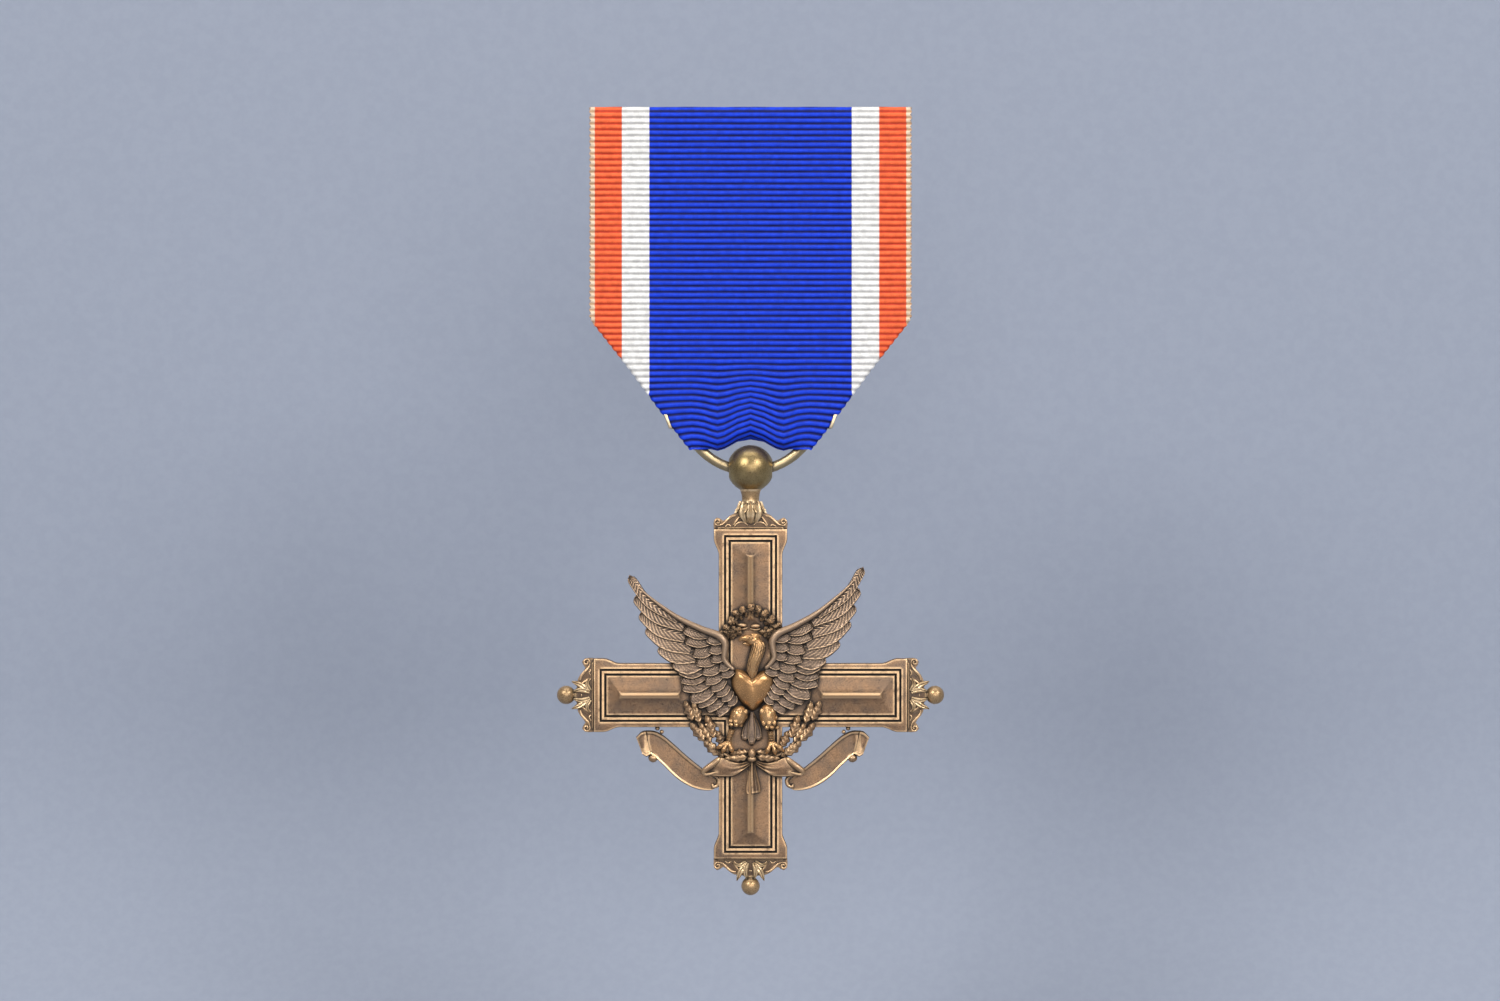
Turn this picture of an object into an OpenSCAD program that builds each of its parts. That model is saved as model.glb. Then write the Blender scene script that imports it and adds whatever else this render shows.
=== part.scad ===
// A military-style bravery cross on a folded silk ribbon with a pin-back brooch.
// Millimetres, hanging upright: +X to the wearer's left, +Y towards the chest, +Z up.
// The origin is the middle of the brooch pin's axis.

/* [Ribbon] */
// Width of the ribbon
ribbon_w = 36; // [30:0.5:44]
// Thickness of the woven silk
ribbon_t = 0.35; // [0.25:0.01:0.42]
// Height of the top fold above the pin axis
top_rise = 5; // [4.4:0.1:6]
// Length from the top fold down to the line where the ribbon bends
bend_drop = 22.6; // [18:0.1:28]
// Height of the slanting edges
slant_h = 14.5; // [12:0.1:18]
// Width left between the slanting edges at their lower ends
end_w = 13; // [11:0.1:16]
// Length of the fold that goes through the ring
loop_w = 10; // [7:0.1:11.5]
// Height of the loop's axis above the ends of the slanting edges
loop_rise = 1.65; // [1.3:0.05:2.2]
// Room left free at the bend, above and below its line
bend_gap = 0.8; // [0.6:0.05:1.2]

/* [Brooch] */
// Width of the brooch plate
plate_w = 34; // [28:0.5:42]
// Height of the brooch plate
plate_h = 9; // [7.4:0.1:10.8]
// Thickness of the brooch plate
plate_t = 0.8; // [0.6:0.05:1]
// Diameter of the pin's stem
pin_d = 0.9; // [0.7:0.05:1.1]
// Length of the plain stem, centred on the origin
stem_len = 20; // [17:0.5:24]
// Distance from the back of the plate to the pin axis
pin_stand = 1.75; // [1.7:0.05:2.1]
// Diameter of the hinge rivet
rivet_d = 1; // [0.8:0.05:1.2]
// Thickness of each hinge ear
ear_t = 0.6; // [0.4:0.05:0.8]
// Thickness of each cheek of the catch
cheek_t = 0.5; // [0.4:0.05:0.7]

/* [Ring and suspension] */
// Radius of the ring's centre line
ring_r = 7.86; // [6.6:0.02:9]
// Diameter of the ring's wire
ring_wire = 1.14; // [0.9:0.02:1.4]
// Diameter of the suspension ball
ball_d = 5.34; // [4.6:0.02:6.2]
// Length of the neck below the ball
neck_h = 1.2; // [0.8:0.1:2]
// Length of the leafed socket below the neck
socket_h = 3; // [2.4:0.1:4]

/* [Cross] */
// Reach of the upper arm from the centre
arm_up = 18.8; // [15:0.1:23]
// Reach of the lower arm
arm_down = 18.5; // [15:0.1:23]
// Reach of each side arm
arm_side = 17.75; // [15:0.1:22]
// Width of each arm
arm_w = 7.2; // [6:0.1:8.6]
// How far each arm's ears stand out at the side
ear_out = 0.55; // [0.3:0.05:0.8]
// Thickness of the cross
cross_t = 2; // [1.6:0.05:2.4]
// Height of the ridge on each arm's panel
ridge_h = 0.45; // [0.3:0.05:0.7]
// Diameter of the ball on each arm's end
finial_d = 2.1; // [1.7:0.05:2.5]

/* [Eagle and wreath] */
// Span from wing tip to wing tip
wing_span = 27.4; // [24:0.1:31]
// Height of the wings above the face of the cross
wing_h = 0.95; // [0.7:0.05:1.2]
// Height of the eagle's breast above the face of the cross
breast_h = 1.6; // [1.2:0.05:2]
// Radius of the wreath's middle line
wreath_r = 7.6; // [7:0.1:8.4]

/* [Hidden] */
$fn = 48;

// Clearances and small fixed sizes
running = 0.05;       // radial clearance of a turning fit
fold_gap = 0.4;       // room between the plate's edge and the ribbon's top fold
ring_gap = 0.33;      // room between the ring and each ribbon layer
seat_gap = 0.65;      // room between the ring and the loop's lower corners
ball_gap = 0.3;       // room between the ball and the loop
bore_play = 0.1;      // room round the ring's curved wire in the ball's bore
knuckle_wall = 0.5;
side_play = 0.1;      // endways clearance at the hinge and in the catch
head_h = 0.35;        // rivet head
tip_step = 0.1;       // the pin is this much thinner in the catch
root_step = 0.2;      // and this much thicker at the hinge
taper_len = 0.8;      // where it narrows before the catch
root_len = 1.95;      // the thicker root, from the knuckle to the plain stem
tip_len = 2;          // the pin's point
clasp_t = 0.4;
clasp_h = 1.6;
stitch_d = 0.24;
rim = 0.7;            // flat border of the cross
band = 0.55;          // sunk band inside the border
panel_inset = rim + band + 0.15;
groove_d = 0.35;      // depth of the grooves
back_sink = 0.2;      // the back's field is this much lower than its border
big = 60;

// Depths, front to back
pin_r = pin_d / 2;
plate_back = -pin_stand;
plate_front = plate_back - plate_t;
front_out = plate_front - ribbon_t;
mid_y = plate_front + ring_gap + ring_wire / 2;
rear_in = mid_y + ring_wire / 2 + ring_gap;
rear_out = rear_in + ribbon_t;
flap_out = rear_out + ribbon_t;
face_y = mid_y - cross_t / 2;
back_y = mid_y + cross_t / 2;

// Heights, top to bottom
plate_top = top_rise - ribbon_t - fold_gap;
plate_bottom = plate_top - plate_h;
turn_end = plate_bottom - 5.25;
rear_top = plate_bottom - 0.75;
seam_z = (turn_end + rear_top) / 2;
bend_z = top_rise - bend_drop;
corner_z = bend_z - bend_gap - 0.5;
end_z = corner_z - slant_h;
loop_r = (rear_out - front_out) / 2;
loop_y = (rear_out + front_out) / 2;
loop_z = end_z + loop_rise;
ring_out = ring_r + ring_wire / 2;
ring_in = ring_r - ring_wire / 2;
ball_r = ball_d / 2;
wire_rise = ring_r - sqrt(pow(ring_r, 2) - pow(ball_r, 2));
bore_r = ring_wire / 2 + wire_rise / 2 + bore_play;
ring_z = loop_z - loop_r + min(
    sqrt(pow(ring_in, 2) - pow(loop_w / 2, 2)) - seat_gap,
    ring_r - wire_rise / 2 - ball_r - ball_gap
);
ball_z = ring_z - ring_r + wire_rise / 2;
cross_z = ball_z - ball_r - neck_h - socket_h - arm_up;

// Hinge and catch
rivet_r = rivet_d / 2;
knuckle_r = rivet_r + running + knuckle_wall;
hinge_x = -stem_len / 2 - root_len - knuckle_r;
knuckle_h = 2 * (pin_r + root_step) + 0.2;
ear_z = knuckle_h / 2 + side_play;
catch_x = stem_len / 2 + taper_len;
catch_w = 2.4;
lock_bore = pin_r + 0.15;
slot_w = 2 * lock_bore;
trunnion_r = lock_bore + 0.35;
drum_r = trunnion_r + 0.3;
cheek_r = trunnion_r + running + 0.45;

// Half the ribbon's width at height z, below the corners
function half_w(z) = end_w / 2 + (z - end_z) * (ribbon_w - end_w) / 2 / slant_h;
function tab_x(z) = max(half_w(z) + 0.12, ring_out + 0.42);

// Extrudes a drawing made in X and Z from depth y0 back to depth y1
module slab(y0, y1) {
    translate([0, y1, 0]) rotate([90, 0, 0]) linear_extrude(y1 - y0) children();
}
// Extrudes a drawing made in Y and Z across the width w
module across(w) {
    translate([-w / 2, 0, 0]) rotate([90, 0, 90]) linear_extrude(w) children();
}
module both_sides() {
    children();
    mirror([1, 0, 0]) children();
}
module on_cross() {
    translate([0, 0, cross_z]) children();
}
module rod_x(r, x0, x1) {
    translate([x0, 0, 0]) rotate([0, 90, 0]) cylinder(r = r, h = x1 - x0);
}

// ---- Brooch ----
module brooch_plate() color("gray") {
    translate([-plate_w / 2, plate_front, plate_bottom]) cube([plate_w, plate_t, plate_h]);
}

module hinge_bracket() color("darkgray") {
    r = knuckle_r + 0.15;
    difference() {
        union() {
            for (side = [-1, 1])
                translate([hinge_x, 0, side > 0 ? ear_z : -ear_z - ear_t]) {
                    cylinder(r = r, h = ear_t);
                    translate([-r, plate_back, 0]) cube([2 * r, pin_stand, ear_t]);
                }
            translate([hinge_x - r, plate_back, -ear_z - ear_t])
                cube([2 * r, pin_stand - knuckle_r - 0.3, 2 * (ear_z + ear_t)]);
        }
        translate([hinge_x, 0, -big / 2]) cylinder(r = rivet_r, h = big);
    }
}

module hinge_rivet() color("silver") {
    half = ear_z + ear_t;
    translate([hinge_x, 0, -half]) cylinder(r = rivet_r, h = 2 * half);
    for (z = [half, -half - head_h])
        translate([hinge_x, 0, z]) cylinder(r = rivet_r + 0.3, h = head_h);
}

module catch_base() color("darkgray") {
    base = pin_stand - drum_r - 0.15;
    difference() {
        union() {
            for (x = [catch_x, catch_x + catch_w - cheek_t]) {
                rod_x(cheek_r, x, x + cheek_t);
                translate([x, plate_back, -cheek_r]) cube([cheek_t, pin_stand, 2 * cheek_r]);
            }
            translate([catch_x, plate_back, -cheek_r]) cube([catch_w, base, 2 * cheek_r]);
        }
        rod_x(trunnion_r + running, catch_x - 1, catch_x + catch_w + 1);
        translate([catch_x - 1, 0, -slot_w / 2]) cube([catch_w + 2, big, slot_w]);
    }
}

module pin_stem() color("silver") {
    tip_r = pin_r - tip_step;
    tip_x = catch_x + catch_w + 0.5;
    rod_x(pin_r, -stem_len / 2, stem_len / 2);
    rod_x(tip_r, catch_x, tip_x);
    translate([stem_len / 2, 0, 0]) rotate([0, 90, 0]) cylinder(r1 = pin_r, r2 = tip_r, h = taper_len);
    translate([tip_x, 0, 0]) rotate([0, 90, 0]) cylinder(r1 = tip_r, r2 = 0.08, h = tip_len);
    difference() {
        union() {
            translate([hinge_x, 0, -knuckle_h / 2]) cylinder(r = knuckle_r, h = knuckle_h);
            rod_x(pin_r + root_step, hinge_x + rivet_r, -stem_len / 2);
        }
        translate([hinge_x, 0, -big / 2]) cylinder(r = rivet_r + running, h = big);
    }
}

module catch_lock() color("silver") {
    x0 = catch_x + cheek_t + side_play;
    x1 = catch_x + catch_w - cheek_t - side_play;
    difference() {
        union() {
            rod_x(trunnion_r, catch_x, catch_x + catch_w);
            rod_x(drum_r, x0, x1);
            rotate([-60, 0, 0]) translate([x0, 0, -0.25]) cube([x1 - x0, drum_r + 1.3, 0.5]);
        }
        rod_x(lock_bore, catch_x - 1, catch_x + catch_w + 1);
        translate([catch_x - 1, 0, -slot_w / 2]) cube([catch_w + 2, big, slot_w]);
    }
}

// ---- Ribbon above the bend ----
module ribbon_front() color("mediumblue") {
    mid = (plate_front + plate_back) / 2;
    r_in = plate_t / 2;
    r_out = r_in + ribbon_t;
    z = plate_top + fold_gap - r_in;
    across(ribbon_w) {
        translate([front_out, bend_z + bend_gap])
            square([ribbon_t, z - bend_z - bend_gap]);
        intersection() {
            difference() {
                translate([mid, z]) circle(r_out);
                translate([mid, z]) circle(r_in);
            }
            translate([front_out, z]) square([2 * r_out, r_out]);
        }
    }
}

module ribbon_turnover() color("navy") {
    z = plate_top + fold_gap - plate_t / 2;
    hinge_half = ear_z + ear_t + 0.3;
    hinge_w = 2 * knuckle_r + 0.9;
    difference() {
        across(ribbon_w) translate([plate_back, turn_end]) square([ribbon_t, z - turn_end]);
        translate([hinge_x - hinge_w / 2, plate_back - 1, -hinge_half])
            cube([hinge_w, 4, 2 * hinge_half]);
        translate([catch_x - 0.3, plate_back - 1, -cheek_r - 0.3])
            cube([catch_w + 0.6, 4, 2 * cheek_r + 0.6]);
    }
}

module ribbon_rear() color("navy") {
    y0 = plate_back + ribbon_t;
    low = bend_z + bend_gap;
    across(ribbon_w) polygon([
        [y0, rear_top], [y0 + ribbon_t, rear_top], [y0 + ribbon_t, turn_end],
        [rear_out, low], [rear_in, low], [y0, turn_end]
    ]);
}

module seam_stitches() color("white") {
    count = 12;
    y = plate_back + 2 * ribbon_t;
    pitch = (ribbon_w - 3) / count;
    for (i = [0 : count - 1])
        translate([-ribbon_w / 2 + 1.5 + (i + 0.2) * pitch, y, seam_z - stitch_d / 2])
            cube([0.6 * pitch, stitch_d / 2, stitch_d]);
}

// ---- Ribbon below the bend ----
module lower_shape(z_low) {
    top = bend_z - bend_gap;
    polygon([
        [-ribbon_w / 2, top], [-ribbon_w / 2, corner_z], [-half_w(z_low), z_low],
        [half_w(z_low), z_low], [ribbon_w / 2, corner_z], [ribbon_w / 2, top]
    ]);
}

module ribbon_lower_front() color("mediumblue") slab(front_out, plate_front) lower_shape(loop_z);

module ribbon_lower_rear() color("navy") slab(rear_in, rear_out) lower_shape(loop_z);

module ribbon_loop() color("mediumblue") across(loop_w) intersection() {
    difference() {
        translate([loop_y, loop_z]) circle(loop_r);
        translate([loop_y, loop_z]) circle(loop_r - ribbon_t);
    }
    translate([front_out, loop_z - loop_r]) square([2 * loop_r, loop_r]);
}

// The corner that is folded away, mirrored about the slanting edge and laid on the back
run = (ribbon_w - end_w) / 2;
fold_share = slant_h * slant_h / (run * run + slant_h * slant_h);
fold_tip = [ribbon_w / 2 - 2 * run * fold_share, corner_z + slant_h - 2 * slant_h * fold_share];
module fold_flap() slab(rear_out, flap_out)
    polygon([[ribbon_w / 2, corner_z], [half_w(loop_z), loop_z], fold_tip]);
module fold_flap_left() color("orangered") mirror([1, 0, 0]) fold_flap();
module fold_flap_right() color("orangered") fold_flap();

module tack_stitches() color("white") {
    low = [half_w(loop_z), loop_z];
    both_sides() for (share = [0.3 : 0.17 : 0.9]) {
        at = low + share * (fold_tip - low);
        translate([at[0] + 0.5, flap_out, at[1]]) cube([0.9, stitch_d / 2, stitch_d]);
    }
}

module fold_clasp() color("peru") {
    z0 = loop_z + 0.3;
    z1 = z0 + clasp_h;
    slab(flap_out, flap_out + clasp_t) polygon([
        [-tab_x(z0) - 0.38, z0], [tab_x(z0) + 0.38, z0],
        [tab_x(z1) + 0.38, z1], [-tab_x(z1) - 0.38, z1]
    ]);
    both_sides() slab(front_out - 0.2, flap_out) polygon([
        [tab_x(z0), z0], [tab_x(z0) + 0.38, z0], [tab_x(z1) + 0.38, z1], [tab_x(z1), z1]
    ]);
}

// ---- Ring and suspension ----
module suspension_ring() color("darkgoldenrod")
    translate([0, mid_y, ring_z]) rotate([90, 0, 0])
        rotate_extrude() translate([ring_r, 0]) circle(d = ring_wire);

// A turned ball: the profile of its wall, spun about the bore
module suspension_ball() color("olive")
    translate([0, mid_y, ball_z]) rotate([0, 90, 0]) rotate_extrude() intersection() {
        circle(ball_r);
        translate([bore_r, -ball_r]) square([ball_r, 2 * ball_r]);
    }

module suspension_stem() color("goldenrod") difference() {
    translate([0, mid_y, cross_z + arm_up]) rotate_extrude() polygon([
        [0, 0], [1.2, 0], [1.65, 0.17 * socket_h], [1.6, 0.4 * socket_h],
        [0.95, 0.82 * socket_h], [1.15, socket_h], [1.15, socket_h + neck_h + 0.4],
        [0, socket_h + neck_h + 0.4]
    ]);
    translate([0, mid_y, ball_z]) sphere(r = ball_r);
}

// ---- Cross ----
// One arm standing up from the centre, with its two ears
module arm(reach) {
    w = arm_w / 2;
    side = [
        [w, 0], [w, reach - 2.9], [w + 0.15 * ear_out, reach - 2.2],
        [w + 0.65 * ear_out, reach - 1.6], [w + ear_out, reach - 1.15], [w + ear_out, reach]
    ];
    polygon(concat(side, [for (i = [len(side) - 1 : -1 : 0]) [-side[i][0], side[i][1]]]));
}
module cross_shape() {
    arm(arm_up);
    rotate(90) arm(arm_side);
    rotate(180) arm(arm_down);
    rotate(-90) arm(arm_side);
}
// The cross drawn smaller: its arms half as wide as w, each end drawn in by inset
module inner_cross(w, inset) {
    translate([-w, inset - arm_down]) square([2 * w, arm_up + arm_down - 2 * inset]);
    translate([inset - arm_side, -w]) square([2 * (arm_side - inset), 2 * w]);
}
module groove(w, inset, deep) {
    half = 0.09;
    slab(face_y - 1, face_y + deep) difference() {
        inner_cross(w + half, inset - half);
        inner_cross(w - half, inset + half);
    }
}
// A hipped panel along one arm: two slopes that meet in a ridge, and a sloping end
module panel(reach) {
    w = arm_w / 2 - panel_inset;
    hip = 1.7;
    translate([0, face_y, 0]) intersection() {
        linear_extrude(reach) polygon([[-w, 0], [w, 0], [0, -ridge_h]]);
        across(2 * w) polygon([[0, 0], [0, reach], [-ridge_h, reach - hip], [-ridge_h, 0]]);
    }
}
// The turn about Y that brings an upright arm to each of the four
arms = [[0, arm_up], [90, arm_side], [180, arm_down], [-90, arm_side]];

module cross_plate() color("sienna") on_cross() {
    difference() {
        slab(face_y, back_y) cross_shape();
        groove(arm_w / 2 - rim, rim + 0.1, groove_d);
        groove(arm_w / 2 - rim - band, rim + band + 0.1, groove_d);
        slab(back_y - back_sink, back_y + 1) inner_cross(arm_w / 2 - rim, rim + 0.1);
    }
    difference() {
        for (a = arms) rotate([0, a[0], 0]) panel(a[1] - panel_inset - 0.1);
        slab(-big, face_y) relief_shapes();
    }
}

// A plain raised tablet on the back, for engraving
module back_tablet() color("peru") on_cross() {
    translate([0, back_y - back_sink, 0]) rotate([-90, 0, 0])
        cylinder(r = arm_w / 2 - rim - 0.4, h = back_sink + 0.3);
}

// The scrolled crest on an arm's end, drawn from the middle of that end
crest_h = 2.1;
module crest_shape() {
    w = arm_w / 2 + ear_out;
    side = [
        [w, 0], [w, 0.25], [w - 1.15, 0.35], [0.5 * w, 0.9], [0.35 * w, 1.5],
        [0.24 * w, 1.95], [0.5, crest_h]
    ];
    polygon(concat(side, [for (i = [len(side) - 1 : -1 : 0]) [-side[i][0], side[i][1]]]));
    for (x = [-w + 0.45, w - 0.45]) translate([x, 0.45]) circle(0.45);
}
module crest(turn, reach) on_cross()
    rotate([0, turn, 0]) translate([0, 0, reach]) slab(mid_y - 0.75, mid_y + 0.75) crest_shape();
module crest_top() color("saddlebrown") difference() {
    crest(0, arm_up);
    translate([0, mid_y, cross_z]) cylinder(r = 1.66, h = big);
}
module crest_left() color("saddlebrown") crest(-90, arm_side);
module crest_right() color("saddlebrown") crest(90, arm_side);
module crest_bottom() color("saddlebrown") crest(180, arm_down);

module finial(turn, reach) on_cross()
    rotate([0, turn, 0]) translate([0, mid_y, reach + crest_h]) {
        r = finial_d / 2;
        cylinder(r = 0.6, h = r);
        translate([0, 0, r + 0.05]) sphere(r = r);
    }
module finial_left() color("peru") finial(-90, arm_side);
module finial_right() color("peru") finial(90, arm_side);
module finial_bottom() color("peru") finial(180, arm_down);

// ---- Relief on the cross, drawn from its centre ----
eagle_x = 0.25;
free_back = face_y + 1.3;
function flip(points) = [for (p = points) [2 * eagle_x - p[0], p[1]]];

module breast_shape() translate([eagle_x, 0.6]) circle(2.35);
module head_shape() {
    polygon([
        [-0.7, 2.4], [1.3, 2.4], [1.75, 4.2], [1.5, 5.6], [0.9, 6.6], [0.3, 7.3], [-0.5, 7.0],
        [-0.8, 6.5], [-1.4, 6.35], [-1.2, 5.9], [-0.5, 5.9], [0.2, 5.6], [0.3, 4.3]
    ]);
}
leg = [
    [-2.6, -1.5], [-0.7, -1.6], [-0.75, -3.2], [-1.6, -4.4], [-2.0, -5.4], [-1.3, -6.4],
    [-2.1, -6.7], [-3.4, -6.5], [-3.6, -5.8], [-2.9, -5.2], [-2.9, -4.2], [-2.75, -2.8]
];
module leg_shape(side) polygon(side < 0 ? leg : flip(leg));
module tail_shape()
    polygon([[-0.7, -1.6], [1.2, -1.6], [1.4, -4.5], [0.9, -5.2], [0.25, -5.7], [-0.4, -5.2], [-0.9, -4.5]]);
wing = [
    [-13.5, 14.0], [-12.0, 12.25], [-10.0, 10.65], [-7.85, 9.3], [-5.45, 8.1], [-4.05, 7.45],
    [-3.2, 6.85], [-2.9, 5.8], [-2.8, 4.3], [-2.0, 3.0], [-1.4, 1.0], [-2.0, -1.4], [-3.5, -2.2],
    [-5.75, -1.5], [-7.6, -0.2], [-7.9, 1.3], [-8.1, 2.8], [-8.6, 4.1], [-10.3, 6.2],
    [-11.4, 8.1], [-12.2, 9.6], [-13.1, 11.5]
];
wing_tilt = 2;
module wing_shape(side) rotate(wing_tilt) mirror([side < 0 ? 0 : 1, 0])
    polygon([for (p = wing) [p[0] * wing_span / 27.4, p[1]]]);
module crown_shape() for (a = [10 : 32 : 170])
    translate([eagle_x + 2.1 * cos(a), 7.3 + 1.5 * sin(a)]) circle(0.8);
module wreath_shape() {
    intersection() {
        difference() {
            circle(wreath_r + 0.4);
            circle(wreath_r - 0.4);
        }
        polygon([[-10, -1.1], [10, -1.1], [10, -10], [-10, -10]]);
    }
    for (a = [-168 : 12 : -12])
        rotate(a) for (x = [-0.45, 0.45]) translate([wreath_r + x, 0]) circle(0.42);
}
module bow_shape() {
    loop = [[0, -6.7], [-2.6, -7.0], [-5.2, -8.2], [-4.9, -9.0], [-3.4, -9.2], [-1.6, -8.3], [0, -7.7]];
    translate([eagle_x, -7]) circle(0.8);
    polygon(loop);
    polygon(flip(loop));
    polygon([[0, -7.4], [0.5, -7.4], [1.05, -11.2], [0.3, -11.6], [-0.45, -11.1]]);
}
scroll = [
    [-12.4, -4.7], [-11.9, -6.9], [-9.9, -8.4], [-8.3, -9.8], [-6.2, -10.7], [-3.6, -10.7],
    [-3.6, -8.9], [-5.2, -8.4], [-6.8, -7.3], [-8.3, -5.9], [-9.7, -3.6], [-11.6, -3.6]
];
module scroll_shape(side) {
    points = side < 0 ? scroll : flip(scroll);
    // Both ends meet the arms, so their points follow the arms' edges
    polygon([for (p = points) [
        abs(p[0] - eagle_x) < 4 ? sign(p[0]) * arm_w / 2 : p[0], p[1] == -3.6 ? -arm_w / 2 : p[1]
    ]]);
}

// Everything that stands on the face
module relief_shapes() {
    breast_shape();
    head_shape();
    tail_shape();
    crown_shape();
    wreath_shape();
    bow_shape();
    for (side = [-1, 1]) {
        leg_shape(side);
        wing_shape(side);
        scroll_shape(side);
    }
}

// A raised shape, as deep as the cross where it stands free, cut round what lies over it
module relief(height, back = free_back) {
    difference() {
        slab(face_y - height, back) children(0);
        slab(face_y, big) cross_shape();
        if ($children > 1) slab(-big, big) children(1);
    }
}

module eagle_body() color("tan") on_cross() {
    r = (2.35 * 2.35 + breast_h * breast_h) / 2 / breast_h;
    intersection() {
        translate([eagle_x, face_y - breast_h + r, 0.6]) sphere(r = r);
        slab(-big, face_y) breast_shape();
    }
}
module eagle_head() color("tan") on_cross() relief(1.1) {
    head_shape();
    breast_shape();
}
module eagle_leg(side) relief(1.1) {
    leg_shape(side);
    breast_shape();
}
module leg_left() color("burlywood") on_cross() eagle_leg(-1);
module leg_right() color("burlywood") on_cross() eagle_leg(1);
module tail() color("peru") on_cross() relief(0.6) {
    tail_shape();
    union() { breast_shape(); leg_shape(-1); leg_shape(1); }
}
module wing_piece(side) relief(wing_h) {
    wing_shape(side);
    union() { breast_shape(); head_shape(); leg_shape(side); tail_shape(); }
}
module wing_left() color("chocolate") on_cross() wing_piece(-1);
module wing_right() color("chocolate") on_cross() wing_piece(1);
module leaf_crown() color("darkkhaki") on_cross() relief(0.8) {
    crown_shape();
    union() { head_shape(); wing_shape(-1); wing_shape(1); }
}
module bow() color("darkkhaki") on_cross() relief(0.9) {
    bow_shape();
    union() { leg_shape(-1); leg_shape(1); tail_shape(); }
}
module laurel_wreath() color("olivedrab") on_cross() relief(0.7) {
    wreath_shape();
    union() {
        bow_shape(); breast_shape(); tail_shape();
        leg_shape(-1); leg_shape(1); wing_shape(-1); wing_shape(1);
    }
}
module scroll_piece(side) relief(0.25) {
    scroll_shape(side);
    union() { bow_shape(); wreath_shape(); }
}
module scroll_left() color("rosybrown") on_cross() scroll_piece(-1);
module scroll_right() color("rosybrown") on_cross() scroll_piece(1);

brooch_plate();
hinge_bracket();
hinge_rivet();
catch_base();
pin_stem();
catch_lock();
ribbon_front();
ribbon_turnover();
ribbon_rear();
seam_stitches();
ribbon_lower_front();
ribbon_loop();
ribbon_lower_rear();
fold_flap_left();
fold_flap_right();
tack_stitches();
fold_clasp();
suspension_ring();
suspension_ball();
suspension_stem();
cross_plate();
back_tablet();
crest_top();
crest_left();
crest_right();
crest_bottom();
finial_left();
finial_right();
finial_bottom();
eagle_body();
eagle_head();
wing_left();
wing_right();
leg_left();
leg_right();
tail();
leaf_crown();
laurel_wreath();
bow();
scroll_left();
scroll_right();
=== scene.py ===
import math
import bmesh
import bpy
import numpy as np
from mathutils import Matrix, Vector


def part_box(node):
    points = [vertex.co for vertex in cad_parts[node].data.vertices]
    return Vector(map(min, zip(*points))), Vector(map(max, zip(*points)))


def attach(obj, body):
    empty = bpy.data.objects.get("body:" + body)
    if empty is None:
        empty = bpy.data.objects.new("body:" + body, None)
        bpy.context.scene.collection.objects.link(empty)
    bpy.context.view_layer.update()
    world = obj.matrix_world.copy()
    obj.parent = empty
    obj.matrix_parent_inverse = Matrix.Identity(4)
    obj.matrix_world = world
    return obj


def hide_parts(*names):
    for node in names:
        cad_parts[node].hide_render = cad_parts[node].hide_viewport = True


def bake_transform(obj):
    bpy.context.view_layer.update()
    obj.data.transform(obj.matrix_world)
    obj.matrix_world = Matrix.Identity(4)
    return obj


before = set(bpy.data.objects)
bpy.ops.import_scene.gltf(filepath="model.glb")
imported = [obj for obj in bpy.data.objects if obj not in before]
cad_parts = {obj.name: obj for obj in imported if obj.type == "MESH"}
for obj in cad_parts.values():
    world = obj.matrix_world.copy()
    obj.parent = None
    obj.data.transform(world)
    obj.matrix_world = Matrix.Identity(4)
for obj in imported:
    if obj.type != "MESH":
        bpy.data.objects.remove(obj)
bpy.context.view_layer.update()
mm = 0.001  # pieces are modelled in millimetres and made metres when they are placed


def middle(node):
    low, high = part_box(node)
    return (low + high) / 2 / mm


ringCentre = middle("suspension_ring")
ballCentre = middle("suspension_ball")
crossCentre = Vector((0, ringCentre.y, middle("back_tablet").z))
faceY = -1.0  # the cross's face, from its middle plane
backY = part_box("cross_plate")[1].y / mm - crossCentre.y


def clearSelection():
    if bpy.context.object and bpy.context.object.mode != "OBJECT":
        bpy.ops.object.mode_set(mode="OBJECT")
    bpy.ops.object.select_all(action="DESELECT")


def activate(obj):
    clearSelection()
    obj.select_set(True)
    bpy.context.view_layer.objects.active = obj


def editAll(obj):
    activate(obj)
    bpy.ops.object.mode_set(mode="EDIT")
    bpy.ops.mesh.select_all(action="SELECT")


def cleanUp(obj, gap=0.002):
    # doubles first, then faces turned outwards
    editAll(obj)
    bpy.ops.mesh.remove_doubles(threshold=gap)
    bpy.ops.mesh.normals_make_consistent(inside=False)
    bpy.ops.object.mode_set(mode="OBJECT")
    return obj


def applyModifier(obj, kind, **settings):
    activate(obj)
    modifier = obj.modifiers.new(kind.title(), kind)
    for key, value in settings.items():
        setattr(modifier, key, value)
    bpy.ops.object.modifier_apply(modifier=modifier.name)
    return obj


def joined(name, parts):
    clearSelection()
    for part in parts:
        part.select_set(True)
    bpy.context.view_layer.objects.active = parts[0]
    if len(parts) > 1:
        bpy.ops.object.join()
    parts[0].name = name
    return parts[0]


def objectOf(name, mesh):
    obj = bpy.data.objects.new(name, mesh)
    bpy.context.scene.collection.objects.link(obj)
    return obj


def readPoints(mesh):
    points = np.zeros(len(mesh.vertices) * 3, np.float32)
    mesh.vertices.foreach_get("co", points)
    return points.reshape(-1, 3).astype(float)


def writePoints(mesh, points):
    mesh.vertices.foreach_set("co", np.asarray(points, np.float32).ravel())
    mesh.update()


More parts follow.
